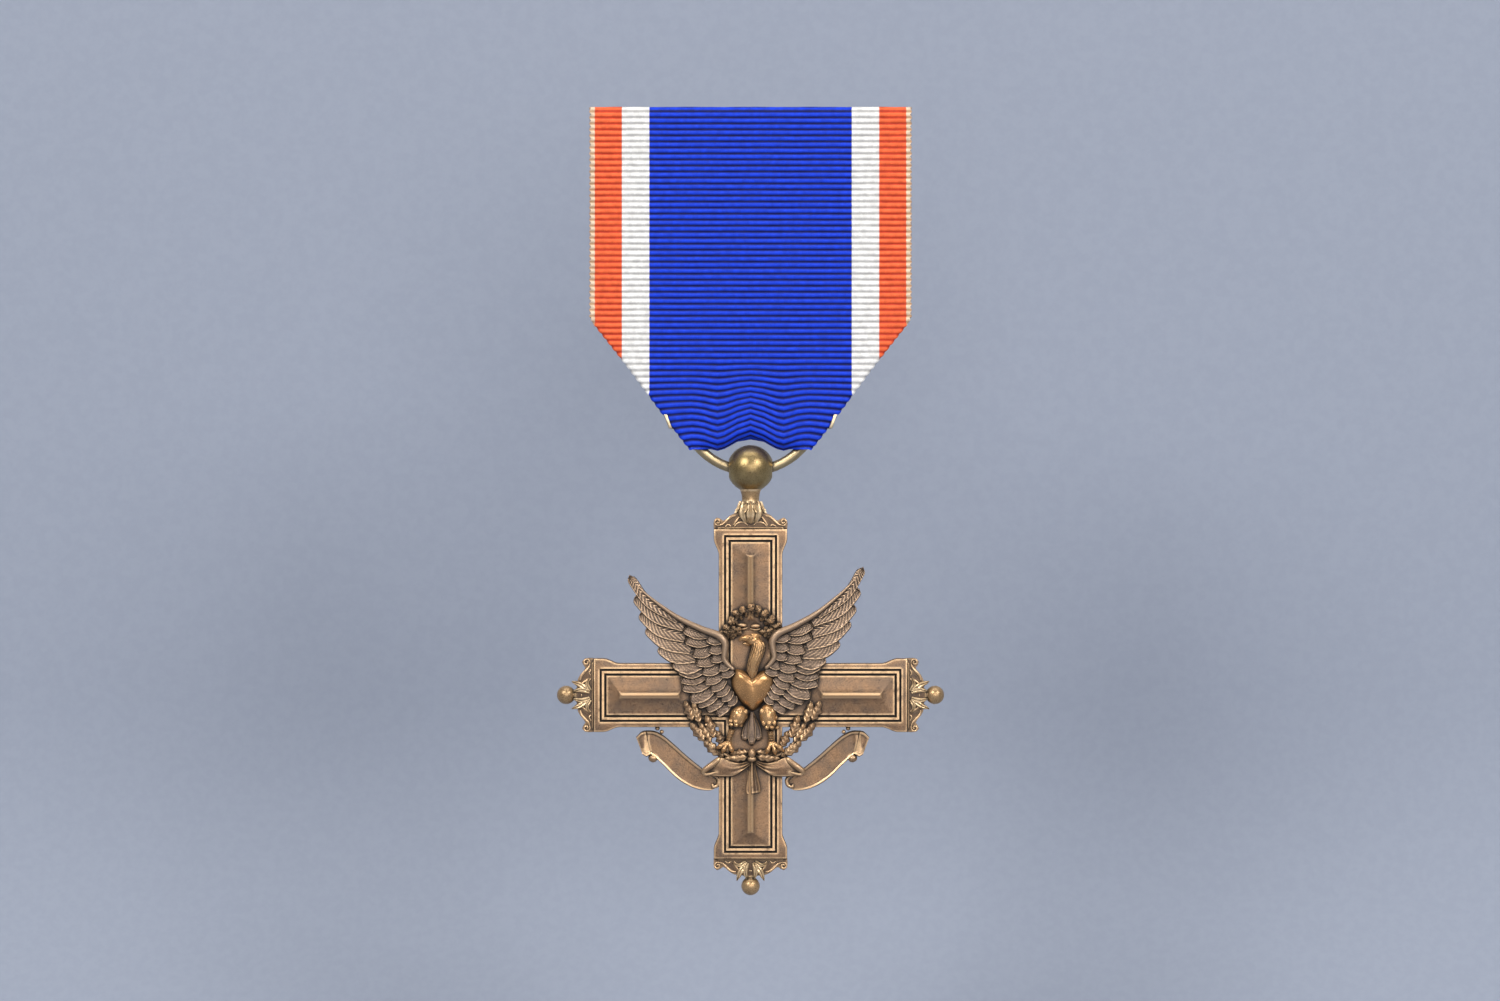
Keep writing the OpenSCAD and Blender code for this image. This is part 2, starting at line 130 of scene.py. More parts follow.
def smoothRun(points, u):
    # a smooth line through the points, read at shares u of its length
    p = np.array(points, float)
    p = p[:, None] if p.ndim == 1 else p
    p = np.vstack([2 * p[0] - p[1], p, 2 * p[-1] - p[-2]])
    count = len(p) - 3
    t = np.clip(u, 0, 1) * count
    i = np.minimum(t.astype(int), count - 1)
    f = (t - i)[:, None]
    a, b, c, d = p[i], p[i + 1], p[i + 2], p[i + 3]
    square, cube = 2 * a - 5 * b + 4 * c - d, 3 * b - a - 3 * c + d
    return 0.5 * (2 * b + (c - a) * f + square * f ** 2 + cube * f ** 3)


def step(low, high, x):
    t = np.clip((x - low) / (high - low), 0, 1)
    return t * t * (3 - 2 * t)


def peak(x, at, width):
    # a smooth rise to 1 at a place
    return np.exp(-((x - at) / width) ** 2)


def arched(x):
    # a round back: 1 in the middle, 0 at -1 and at 1
    return np.sqrt(np.clip(1 - x * x, 0, 1))


def beyond(x, start):
    # 0 up to a place near the edge, then rising to 1 at the edge
    return np.clip((x - start) / (1 - start), 0, 1)


def mirrored(points, flip, middleX=0.0):
    # the points as they are, or mirrored about an upright line
    return [(2 * middleX - x, z) for x, z in points] if flip else list(points)


stripMeshes = {}


def unitStrip(along, across):
    # a flat closed strip, made once for each number of cells: X and Y from -1 to 1, top at 0, back at -1
    if (along, across) not in stripMeshes:
        clearSelection()
        bpy.ops.mesh.primitive_grid_add(x_subdivisions=along, y_subdivisions=across, size=2)
        strip = bpy.context.object
        editAll(strip)
        bpy.ops.mesh.extrude_region_move(TRANSFORM_OT_translate={"value": (0, 0, -1)})
        bpy.ops.object.mode_set(mode="OBJECT")
        stripMeshes[along, across] = strip.data.copy()
        bpy.data.objects.remove(strip)
    return stripMeshes[along, across].copy()


def stripPoints(along, across):
    # a new strip, its points' shares of the length (0 to 1) and width (-1 to 1), and which are on its front
    mesh = unitStrip(along, across)
    points = readPoints(mesh)
    return mesh, (points[:, 0] + 1) / 2, points[:, 1], points[:, 2] > -0.5


def setRelief(mesh, values):
    # where a front stands proud (1) or lies low (-1), for the toning of the metal
    old = mesh.attributes.get("Relief")
    if old:
        mesh.attributes.remove(old)
    mesh.attributes.new("Relief", "FLOAT", "POINT").data.foreach_set("value", values)


def markRelief(mesh, front, u, v, height):
    # each point of a relief is set against the heights close by
    near = [height(u, np.clip(v + d, -1, 1)) for d in (-0.1, 0.1)]
    near += [height(np.clip(u + d, 0, 1), v) for d in (-0.03, 0.03)]
    value = np.clip((height(u, v) - sum(near) / 4) / 0.035, -1, 1)
    setRelief(mesh, np.where(front, np.where(np.abs(v) > 0.999, -1, value), -0.2))


def blade(spine, widths, height, floor=0.2, along=28, across=10):
    # a strip bent along a spine in X and Z; height(u, v) is how far its front stands above the cross's face
    mesh, u, v, front = stripPoints(along, across)
    at = smoothRun(spine, u)
    way = smoothRun(spine, np.minimum(u + 0.01, 1)) - smoothRun(spine, np.maximum(u - 0.01, 0))
    way /= np.maximum(np.linalg.norm(way[:, :2], axis=1), 1e-9)[:, None]
    half = smoothRun(widths, u)[:, 0] * v
    lift = at[:, 2] if at.shape[1] > 2 else 0
    y = np.where(front, faceY - height(u, v) - lift, floor)
    writePoints(mesh, np.stack([at[:, 0] - way[:, 1] * half, y, at[:, 1] + way[:, 0] * half], 1))
    markRelief(mesh, front, u, v, height)
    return objectOf("blade", mesh)


def rod(spine, radii, samples=40, sides=3):
    # a round bar through points (x, y, z), rounded off at both ends
    u = np.linspace(0, 1, samples)
    at, radius = smoothRun(spine, u), smoothRun(radii, u)[:, 0]
    curve = bpy.data.curves.new("rod", "CURVE")
    curve.dimensions = "3D"
    curve.bevel_depth = 1
    curve.bevel_resolution = sides
    curve.use_fill_caps = True
    line = curve.splines.new("POLY")
    line.points.add(samples - 1)
    length = np.linalg.norm(np.diff(at, axis=0), axis=1).sum()
    ends = np.minimum(u, 1 - u) * length / np.maximum(radius, 0.01)
    radius = radius * np.sqrt(np.clip(1 - (1 - np.minimum(ends, 1)) ** 2, 0.03, 1))
    for point, place, size in zip(line.points, at, radius):
        point.co = (*place, 1)
        point.radius = size
    obj = objectOf("rod", curve)
    activate(obj)
    bpy.ops.object.convert(target="MESH")
    return bpy.context.object


def flatRod(line, y, radii, samples, sides):
    # a round bar whose middle stays at one depth
    return rod([(x, y, z) for x, z in line], radii, samples, sides)


def blob(centre, size, turn=0, segments=32):
    # an egg shape at a place, turned about Y
    clearSelection()
    bpy.ops.mesh.primitive_uv_sphere_add(segments=segments, ring_count=segments // 2, radius=1)
    obj = bpy.context.object
    shaped = Matrix.Rotation(math.radians(turn), 4, "Y") @ Matrix.Diagonal((*size, 1))
    obj.data.transform(Matrix.Translation(centre) @ shaped)
    return obj


def slab(points, front, back, edge=0.08):
    # a plate cut to an outline in X and Z, with rounded edges
    curve = bpy.data.curves.new("slab", "CURVE")
    curve.dimensions = "2D"
    curve.fill_mode = "BOTH"
    curve.extrude = (back - front) / 2 - edge
    curve.bevel_depth = edge
    curve.bevel_resolution = 2
    curve.offset = -edge
    line = curve.splines.new("POLY")
    line.points.add(len(points) - 1)
    for point, place in zip(line.points, points):
        point.co = (place[0], place[1], 0, 1)
    line.use_cyclic_u = True
    obj = objectOf("slab", curve)
    activate(obj)
    bpy.ops.object.convert(target="MESH")
    obj = bpy.context.object
    upright = Matrix.Rotation(math.pi / 2, 4, "X")
    obj.data.transform(Matrix.Translation((0, (front + back) / 2, 0)) @ upright)
    return obj


def lathe(profile, segments=64):
    # a turned shape about Z: the profile (radius, height) is spun round
    mesh = bpy.data.meshes.new("turned")
    mesh.from_pydata([(r, 0, z) for r, z in profile], [(i, i + 1) for i in range(len(profile) - 1)], [])
    obj = objectOf("turned", mesh)
    editAll(obj)
    bpy.ops.mesh.spin(steps=segments, angle=2 * math.pi, center=(0, 0, 0), axis=(0, 0, 1))
    bpy.ops.object.mode_set(mode="OBJECT")
    return cleanUp(obj)


def fused(name, parts, grain, passes=6):
    # separate lumps run together into one skin, as in a cast
    obj = joined(name, parts)
    applyModifier(obj, "REMESH", mode="VOXEL", voxel_size=grain)
    return applyModifier(obj, "SMOOTH", factor=0.5, iterations=passes)


def softenedCopy(node, name, edge):
    # a CAD node's own shape with its edges broken
    obj = objectOf(name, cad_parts[node].data.copy())
    obj.data.transform(Matrix.Scale(1 / mm, 4))
    editAll(obj)
    bpy.ops.mesh.remove_doubles(threshold=0.001)
    bpy.ops.mesh.dissolve_limited(angle_limit=math.radians(1))
    bpy.ops.object.mode_set(mode="OBJECT")
    return applyModifier(obj, "BEVEL", width=edge, segments=2, limit_method="ANGLE", angle_limit=0.6)


def finished(obj, name, body, material, nodes, shift=(0, 0, 0), crease=35):
    # a piece gets its name, its place in metres, its material and its body
    cleanUp(obj, 0.0004)
    obj.name = name
    obj.data.name = name
    obj.data.transform(Matrix.Scale(mm, 4) @ Matrix.Translation(shift))
    obj.data.materials.clear()
    obj.data.materials.append(material)
    activate(obj)
    bpy.ops.object.shade_smooth_by_angle(angle=math.radians(crease))
    if body:
        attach(obj, body)
    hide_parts(*nodes)
    return obj


def onCross(obj, name, node, material, crease=35):
    # a piece that was modelled about the middle of the cross
    return finished(obj, name, "cross", material, [node], crossCentre, crease)


def addNode(tree, kind, inputs=None, **settings):
    # a node with its settings made and its inputs linked or set
    node = tree.nodes.new(kind)
    for key, value in settings.items():
        setattr(node, key, value)
    for key, value in (inputs or {}).items():
        if isinstance(value, bpy.types.NodeSocket):
            tree.links.new(value, node.inputs[key])
        else:
            node.inputs[key].default_value = value
    return node


def mixColour(tree, share, first, second, blend="MIX"):
    first = (*first, 1) if isinstance(first, tuple) else first
    second = (*second, 1) if isinstance(second, tuple) else second
    inputs = {0: share, 6: first, 7: second}
    return addNode(tree, "ShaderNodeMix", inputs, data_type="RGBA", blend_type=blend).outputs[2]


def spread(tree, value, low, high, toLow=0.0, toHigh=1.0):
    inputs = {0: value, 1: low, 2: high, 3: toLow, 4: toHigh}
    return addNode(tree, "ShaderNodeMapRange", inputs, interpolation_type="SMOOTHSTEP").outputs[0]


def sums(tree, kind, first, second=0.0):
    return addNode(tree, "ShaderNodeMath", {0: first, 1: second}, operation=kind).outputs[0]


def noise(tree, place, scale, detail=4.0, rough=0.55):
    inputs = {"Vector": place, "Scale": scale, "Detail": detail, "Roughness": rough}
    return addNode(tree, "ShaderNodeTexNoise", inputs).outputs[0]


def newGroup(name, inputs, outputs):
    # inputs are (name, socket kind, value) and outputs are names of values
    group = bpy.data.node_groups.new(name, "ShaderNodeTree")
    for label, kind, value in inputs:
        socket = group.interface.new_socket(label, in_out="INPUT", socket_type=kind)
        if value is not None:
            socket.default_value = value
    for label in outputs:
        group.interface.new_socket(label, in_out="OUTPUT", socket_type="NodeSocketFloat")
    start = group.nodes.new("NodeGroupInput")
    end = group.nodes.new("NodeGroupOutput")
    return group, start, end


def newMaterial(name):
    material = bpy.data.materials.new(name)
    material.use_nodes = True
    tree = material.node_tree
    tree.nodes.clear()
    shader = tree.nodes.new("ShaderNodeBsdfPrincipled")
    end = tree.nodes.new("ShaderNodeOutputMaterial")
    tree.links.new(shader.outputs[0], end.inputs[0])
    return material, tree, shader


def makeMetalAge():
    # how a toned metal ages: dark in the hollows, bare on the ridges and edges (worn metal, and partly a
    # painted highlight), blotched and grained between
    group, start, end = newGroup("metalAge", [
        ("Place", "NodeSocketVector", None), ("Hollow Reach", "NodeSocketFloat", 0.0007),
        ("Ridge Reach", "NodeSocketFloat", 0.00022)], ["Hollow", "Ridge", "Blotch", "Grain"])
    place = start.outputs["Place"]
    hollow = addNode(group, "ShaderNodeAmbientOcclusion", {"Distance": start.outputs["Hollow Reach"]},
                     samples=8)
    ridge = addNode(group, "ShaderNodeAmbientOcclusion", {"Distance": start.outputs["Ridge Reach"]},
                    samples=8, inside=True, only_local=True)
    rub = noise(group, place, 1400.0, 5.0)
    blotch = noise(group, place, 520.0, 5.0, 0.62)
    grain = noise(group, place, 9000.0, 3.0, 0.7)
    edges = spread(group, ridge.outputs["AO"], 1.0, 0.7)
    rubbedAndHighlit = sums(group, "MULTIPLY", edges, spread(group, rub, 0.2, 0.55))
    made = {"Hollow": spread(group, hollow.outputs["AO"], 0.95, 0.5), "Ridge": rubbedAndHighlit,
            "Blotch": spread(group, blotch, 0.32, 0.72), "Grain": grain}
    for label, socket in made.items():
        group.links.new(socket, end.inputs[label])
    return group


metalAge = makeMetalAge()


def metal(name, look):
    # a look holds the tones of a finish, how worn it is and how rough
    material, tree, shader = newMaterial(name)
    place = addNode(tree, "ShaderNodeTexCoord").outputs["Object"]
    reach = {"Place": place, "Hollow Reach": look["hollowReach"], "Ridge Reach": look["ridgeReach"]}
    age = addNode(tree, "ShaderNodeGroup", reach, node_tree=metalAge).outputs
    tone = mixColour(tree, age["Blotch"], look["tone"], look["otherTone"])
    relief = addNode(tree, "ShaderNodeAttribute", attribute_name="Relief").outputs["Fac"]
    # proud parts and edges go to the bare tone as worn metal that is partly a painted highlight; low parts go
    # dark with patina
    proud, sunk = spread(tree, relief, 0.1, 0.9, 0.0, 0.9), spread(tree, relief, -0.25, -0.95)
    rubbedAndHighlit = sums(tree, "MAXIMUM", sums(tree, "MULTIPLY", age["Ridge"], look["rubbedAndHighlit"]), proud)
    hollow = sums(tree, "MAXIMUM", age["Hollow"], sunk)
    speck = spread(tree, age["Grain"], 0.35, 0.7)
    tone = mixColour(tree, sums(tree, "MULTIPLY", speck, look["speckle"]), tone, look["bare"])
    tone = mixColour(tree, rubbedAndHighlit, tone, look["bare"])
    tone = mixColour(tree, sums(tree, "MULTIPLY", hollow, look["darkened"]), tone, look["hollow"])
    tree.links.new(tone, shader.inputs["Base Color"])
    tree.links.new(spread(tree, hollow, 0.2, 1.0, look["metallic"], 0.15), shader.inputs["Metallic"])
    low, high = look["rough"]
    rough = spread(tree, age["Grain"], 0.3, 0.75, low, high)
    rough = sums(tree, "ADD", rough, spread(tree, hollow, 0.1, 1.0, 0.0, 0.3))
    tree.links.new(rough, shader.inputs["Roughness"])
    grain = sums(tree, "MULTIPLY", age["Grain"], look["grainDepth"])
    dents = sums(tree, "MULTIPLY", noise(tree, place, look["dentScale"], 3.0), look["dentDepth"])
    height = sums(tree, "ADD", grain, dents)
    bump = addNode(tree, "ShaderNodeBump", {"Height": height, "Strength": 1.0, "Distance": 0.00004})
    tree.links.new(bump.outputs[0], shader.inputs["Normal"])
    return material


bronzeLook = {
    "tone": (0.21, 0.115, 0.06), "otherTone": (0.085, 0.056, 0.042), "bare": (0.78, 0.51, 0.28),
    "hollow": (0.012, 0.008, 0.007), "speckle": 0.22, "rubbedAndHighlit": 0.85, "darkened": 0.95, "metallic": 0.6,
    "rough": (0.26, 0.44), "grainDepth": 0.3, "dentDepth": 0.5, "dentScale": 900.0,
    "hollowReach": 0.0007, "ridgeReach": 0.0003}
struckBronze = metal("struckBronze", bronzeLook)
featherBronze = metal("featherBronze", {
    **bronzeLook, "tone": (0.115, 0.075, 0.055), "otherTone": (0.07, 0.05, 0.04), "bare": (0.62, 0.42, 0.26),
    "rubbedAndHighlit": 0.15, "hollowReach": 0.0005, "ridgeReach": 0.00012})
bodyBronze = metal("bodyBronze", {
    **bronzeLook, "tone": (0.5, 0.26, 0.1), "otherTone": (0.33, 0.17, 0.065), "bare": (0.88, 0.6, 0.32),
    "speckle": 0.12, "rubbedAndHighlit": 0.2, "rough": (0.2, 0.3), "metallic": 0.65, "grainDepth": 0.12})
giltBronze = metal("giltBronze", {
    **bronzeLook, "tone": (0.42, 0.26, 0.12), "otherTone": (0.22, 0.13, 0.06), "bare": (0.85, 0.62, 0.36),
    "rough": (0.25, 0.42), "hollowReach": 0.0005})
ballBrass = metal("ballBrass", {
    **bronzeLook, "tone": (0.36, 0.26, 0.11), "otherTone": (0.22, 0.15, 0.065), "bare": (0.6, 0.46, 0.25),
    "speckle": 0.25, "rough": (0.26, 0.42), "metallic": 0.9, "grainDepth": 0.3})
ringBrass = metal("ringBrass", {
    **bronzeLook, "tone": (0.5, 0.38, 0.2), "otherTone": (0.34, 0.25, 0.13), "bare": (0.75, 0.62, 0.42),
    "speckle": 0.3, "rough": (0.28, 0.42), "metallic": 0.92})
broochNickel = metal("broochNickel", {
    **bronzeLook, "tone": (0.58, 0.56, 0.52), "otherTone": (0.46, 0.44, 0.4), "bare": (0.8, 0.79, 0.76),
    "hollow": (0.05, 0.045, 0.04), "darkened": 0.7, "rough": (0.24, 0.4), "metallic": 0.95})
print("metals made")


silk = {"thick": 0.3, "rib": 0.68, "ribDepth": 0.06, "rowsPerRib": 6, "columns": 54, "scallop": 0.24,
        "loopHalf": 5.2, "hem": 1.3, "foldRadius": 0.17}


def ribbonPath():
    # the line that the middle of the silk follows, in Y and Z, from its end behind the plate to its rear end
    thick = silk["thick"] / 2
    turnLow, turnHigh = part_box("ribbon_turnover")
    frontLow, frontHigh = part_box("ribbon_front")
    loopLow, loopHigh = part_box("ribbon_loop")
    rearLow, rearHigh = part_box("ribbon_rear")
    turnY, frontY = turnHigh.y / mm - 0.02 - thick, frontLow.y / mm + thick
    topRadius = (turnY - frontY) / 2
    topZ = frontHigh.z / mm - thick - topRadius
    loopY = (loopLow.y + loopHigh.y) / 2 / mm
    loopRadius = (loopHigh.y - loopLow.y) / 2 / mm - thick
    loopZ = loopHigh.z / mm
    rearTopY = turnHigh.y / mm + 0.02 + thick
    turn = np.linspace(0, math.pi, 40)
    line = [(turnY, turnLow.z / mm)]
    line += [((turnY + frontY) / 2 + topRadius * math.cos(a), topZ + topRadius * math.sin(a)) for a in turn]
    line += [(loopY - loopRadius * math.cos(a), loopZ - loopRadius * math.sin(a)) for a in turn]
    line += [(loopY + loopRadius, rearLow.z / mm), (rearTopY, turnLow.z / mm), (rearTopY, rearHigh.z / mm)]
    line = np.array(line)
    far = np.concatenate([[0], np.cumsum(np.linalg.norm(np.diff(line, axis=0), axis=1))])
    return line, far, {"turnTop": far[1], "frontStart": far[40], "loopStart": far[41], "loopEnd": far[80],
                       "loopZ": loopZ, "frontY": frontY, "rearY": loopY + loopRadius}


def bottomEdge(s):
    # how far the lower edge of the silk is drawn down (-) or up (+) across its width
    places = [0, 1.6, 2.8, 3.9, 5.0, 6.4, 18]
    amounts = [0.62, 0.05, -0.7, -0.98, -0.45, -0.1, -0.1]
    return np.interp(np.abs(s), places, amounts)


def cutAcross(work, along, place, normal):
    # cuts the flat silk along a line, only where along(centre of a face) is true
    faces = [f for f in work.faces if along(f.calc_center_median())]
    parts = set(faces)
    for f in faces:
        parts.update(f.edges)
        parts.update(f.verts)
    bmesh.ops.bisect_plane(work, geom=list(parts), dist=1e-5, plane_co=place, plane_no=normal)


def ribbonLay():
    # how the silk lies: its path, and the slanted folds that narrow it towards the ring
    line, far, lay = ribbonPath()
    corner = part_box("fold_flap_right")[1] / mm
    lowerFront = readPoints(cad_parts["ribbon_lower_front"].data) / mm
    lowX = lowerFront[lowerFront[:, 2] < lay["loopZ"] + 0.01][:, 0].max()
    slope = Vector((corner.x - lowX, corner.z - lay["loopZ"])).normalized()
    lay.update(line=line, far=far, length=far[-1], halfWidth=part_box("ribbon_front")[1].x / mm,
               corner=corner, away=Vector((slope.y, -slope.x)), lowest=corner.z + 1.5,
               middleT=(lay["loopStart"] + lay["loopEnd"]) / 2,
               foldSteps=[silk["foldRadius"] * math.pi * k / 5 for k in range(6)])
    return lay


def flatZ(lay, t):
    # height of a point of the flat silk if it hung straight from the top fold or the rear
    front, rear = lay["loopZ"] + lay["loopStart"] - t, lay["loopZ"] + t - lay["loopEnd"]
    return np.where(t < lay["middleT"], front, rear)


def pastFold(lay, s, t):
    # how far a point of the flat silk lies past the slanted fold
    return lay["away"].x * (np.abs(s) - lay["corner"].x) + lay["away"].y * (flatZ(lay, t) - lay["corner"].z)


def cutFolds(work, lay):
    # lines along each slanted fold, so that it can be rounded, and along each flap's hem
    for side, rear in ((-1, False), (-1, True), (1, False), (1, True)):
        rise = lay["corner"].z - lay["loopZ"]
        tAt = lay["loopEnd"] + rise if rear else lay["loopStart"] - rise
        normal = Vector((side * lay["away"].x, (1 if rear else -1) * lay["away"].y, 0))

        def near(c, side=side, rear=rear):
            own = c.y > lay["middleT"] if rear else c.y < lay["middleT"]
            close = -0.6 < pastFold(lay, c.x, c.y) < 2.2 and flatZ(lay, c.y) < lay["lowest"]
            return own and side * c.x > 4 and close
        for d in lay["foldSteps"] + ([] if rear else [silk["hem"]]):
            cutAcross(work, near, Vector((side * lay["corner"].x, tAt, 0)) + normal * d, normal)


def cutSlots(work, lay):
    # the turned-over end has a slot for each fitting
    margin, turnZ = 0.3, lay["line"][1][1]
    for node in ("hinge_bracket", "catch_base"):
        low, high = (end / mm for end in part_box(node))
        t0, t1 = lay["turnTop"] - (turnZ - low.z) - margin, lay["turnTop"] - (turnZ - high.z) + margin

        def slot(c, low=low, high=high, t0=t0, t1=t1):
            return low.x - 1.5 < c.x < high.x + 1.5 and t0 - 1 < c.y < t1 + 1
        for place, normal in (((low.x - margin, 0, 0), (1, 0, 0)), ((high.x + margin, 0, 0), (1, 0, 0)),
                              ((0, t0, 0), (0, 1, 0)), ((0, t1, 0), (0, 1, 0))):
            cutAcross(work, slot, Vector(place), Vector(normal))
        gone = [f for f in work.faces if low.x - margin < f.calc_center_median().x < high.x + margin
                and t0 < f.calc_center_median().y < t1]
        bmesh.ops.delete(work, geom=gone, context="FACES")


def trimFlaps(work, lay):
    # takes off what lies past each flap's hem, and the corners beside the loop
    gone = []
    for f in work.faces:
        c = f.calc_center_median()
        past, height = pastFold(lay, c.x, c.y), flatZ(lay, c.y)
        pastHem = c.y < lay["middleT"] and past > silk["hem"]
        pastLoop = height < lay["loopZ"] and past > lay["foldSteps"][-1]
        beside = abs(c.x) > silk["loopHalf"] and abs(c.y - lay["middleT"]) < 0.12
        if (height < lay["lowest"] and (pastHem or pastLoop)) or beside:
            gone.append(f)
    bmesh.ops.delete(work, geom=gone, context="FACES")


def flatSilk(lay):
    # the strip before it is folded: X across it, Y along it, and a UV map of the same
    length, halfWidth = lay["length"], lay["halfWidth"]
    clearSelection()
    rows = int(length / silk["rib"] * silk["rowsPerRib"])
    bpy.ops.mesh.primitive_grid_add(x_subdivisions=silk["columns"], y_subdivisions=rows, size=2)
    obj = bpy.context.object
    points = readPoints(obj.data)
    a, t = points[:, 0], (points[:, 1] + 1) / 2 * length
    across = halfWidth * (0.78 * a + 0.22 * np.sin(a * math.pi / 2))  # closer columns towards both edges
    writePoints(obj.data, np.stack([across, t, np.zeros(len(t))], 1))
    work = bmesh.new()
    work.from_mesh(obj.data)
    cutFolds(work, lay)
    cutSlots(work, lay)
    trimFlaps(work, lay)
    uv = work.loops.layers.uv.new("Silk")
    for f in work.faces:
        for loop in f.loops:
            loop[uv].uv = (loop.vert.co.x / (2 * halfWidth) + 0.5, loop.vert.co.y / length)
    flatArea = sum(f.calc_area() for f in work.faces)
    work.to_mesh(obj.data)
    work.free()
    return obj, flatArea


def foldSilk(obj, lay):
    # each point of the flat strip goes to its place on the path, past the folds and onto its rib
    line, far, away, middleT = lay["line"], lay["far"], lay["away"], lay["middleT"]
    flat = readPoints(obj.data)
    s, t = flat[:, 0], flat[:, 1]
    side, rear = np.sign(s), t > middleT
    y, z = np.interp(t, far, line[:, 0]), np.interp(t, far, line[:, 1])
    ny = np.interp(t + 0.05, far, line[:, 1]) - np.interp(t - 0.05, far, line[:, 1])
    nz = np.interp(t - 0.05, far, line[:, 0]) - np.interp(t + 0.05, far, line[:, 0])
    size = np.maximum(np.hypot(ny, nz), 1e-9)
    ny, nz = ny / size, nz / size
    # beside the loop the silk hangs straight instead of going round the ring
    inLoop = (t > lay["loopStart"]) & (t < lay["loopEnd"])
    hang = step(silk["loopHalf"] - 0.7, silk["loopHalf"] + 0.4, np.abs(s)) * inLoop
    straightY = np.where(t < middleT, lay["frontY"], lay["rearY"])
    y, z = y + (straightY - y) * hang, z + (flatZ(lay, t) - z) * hang
    straightNormal = np.where(t < middleT, -1.0, 1.0)
    ny, nz = ny + (straightNormal - ny) * hang, nz * (1 - hang)
    # what lies past a fold turns round it and comes back as a flap
    radius = silk["foldRadius"]
    below = (t > lay["frontStart"] + 8) & (t < lay["length"] - 8)
    fold = np.maximum(pastFold(lay, s, t), 0) * below * (flatZ(lay, t) < lay["lowest"])
    theta = np.minimum(fold / radius, math.pi)
    past = np.maximum(fold - math.pi * radius, 0)
    shift = -fold + radius * np.sin(theta) - past
    x = s + side * away.x * shift
    z = z + away.y * shift
    y = y + radius * (1 - np.cos(theta))
    lean = np.where(rear, -1.0, 1.0) * np.sin(theta)
    nx, nz = side * away.x * lean, nz * np.cos(theta) + away.y * lean
    ny = ny * np.cos(theta)
    # the ribs droop and follow the drawn-in lower edge
    pull = step(lay["loopZ"] + 9, lay["loopZ"] - 1, z) * below
    edgeShare = np.clip(np.abs(x) / (6.5 + 0.8 * (np.maximum(z, -33) + 33.4)), 0, 1)
    z = z + pull * np.where(rear, 0.5, 1.0) * bottomEdge(x) - 0.4 * pull * edgeShare ** 4
    wander = 0.03 * np.sin(s * 0.9 + t * 0.31) + 0.02 * np.sin(s * 2.3 - t * 0.7)
    ribs = silk["ribDepth"] * np.cos(2 * math.pi * (t + wander) / silk["rib"])
    edge = (np.abs(s) > lay["halfWidth"] - 0.01) * (fold == 0)
    scallop = silk["scallop"] * np.abs(np.sin(math.pi * t / silk["rib"])) * edge
    x = x + nx * ribs + side * scallop
    writePoints(obj.data, np.stack([x, y + ny * ribs, z + nz * ribs], 1))


def makeRibbon():
    lay = ribbonLay()
    obj, flatArea = flatSilk(lay)
    foldSilk(obj, lay)
    thickness = silk["thick"] - silk["ribDepth"]
    applyModifier(obj, "SOLIDIFY", thickness=thickness, offset=0, use_even_offset=False)
    finished(obj, "ribbonStrip", None, ribbonSilk, [
        "ribbon_front", "ribbon_turnover", "ribbon_rear", "ribbon_lower_front", "ribbon_loop",
        "ribbon_lower_rear", "fold_flap_left", "fold_flap_right"], crease=60)
    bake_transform(obj)
    return lay["length"]


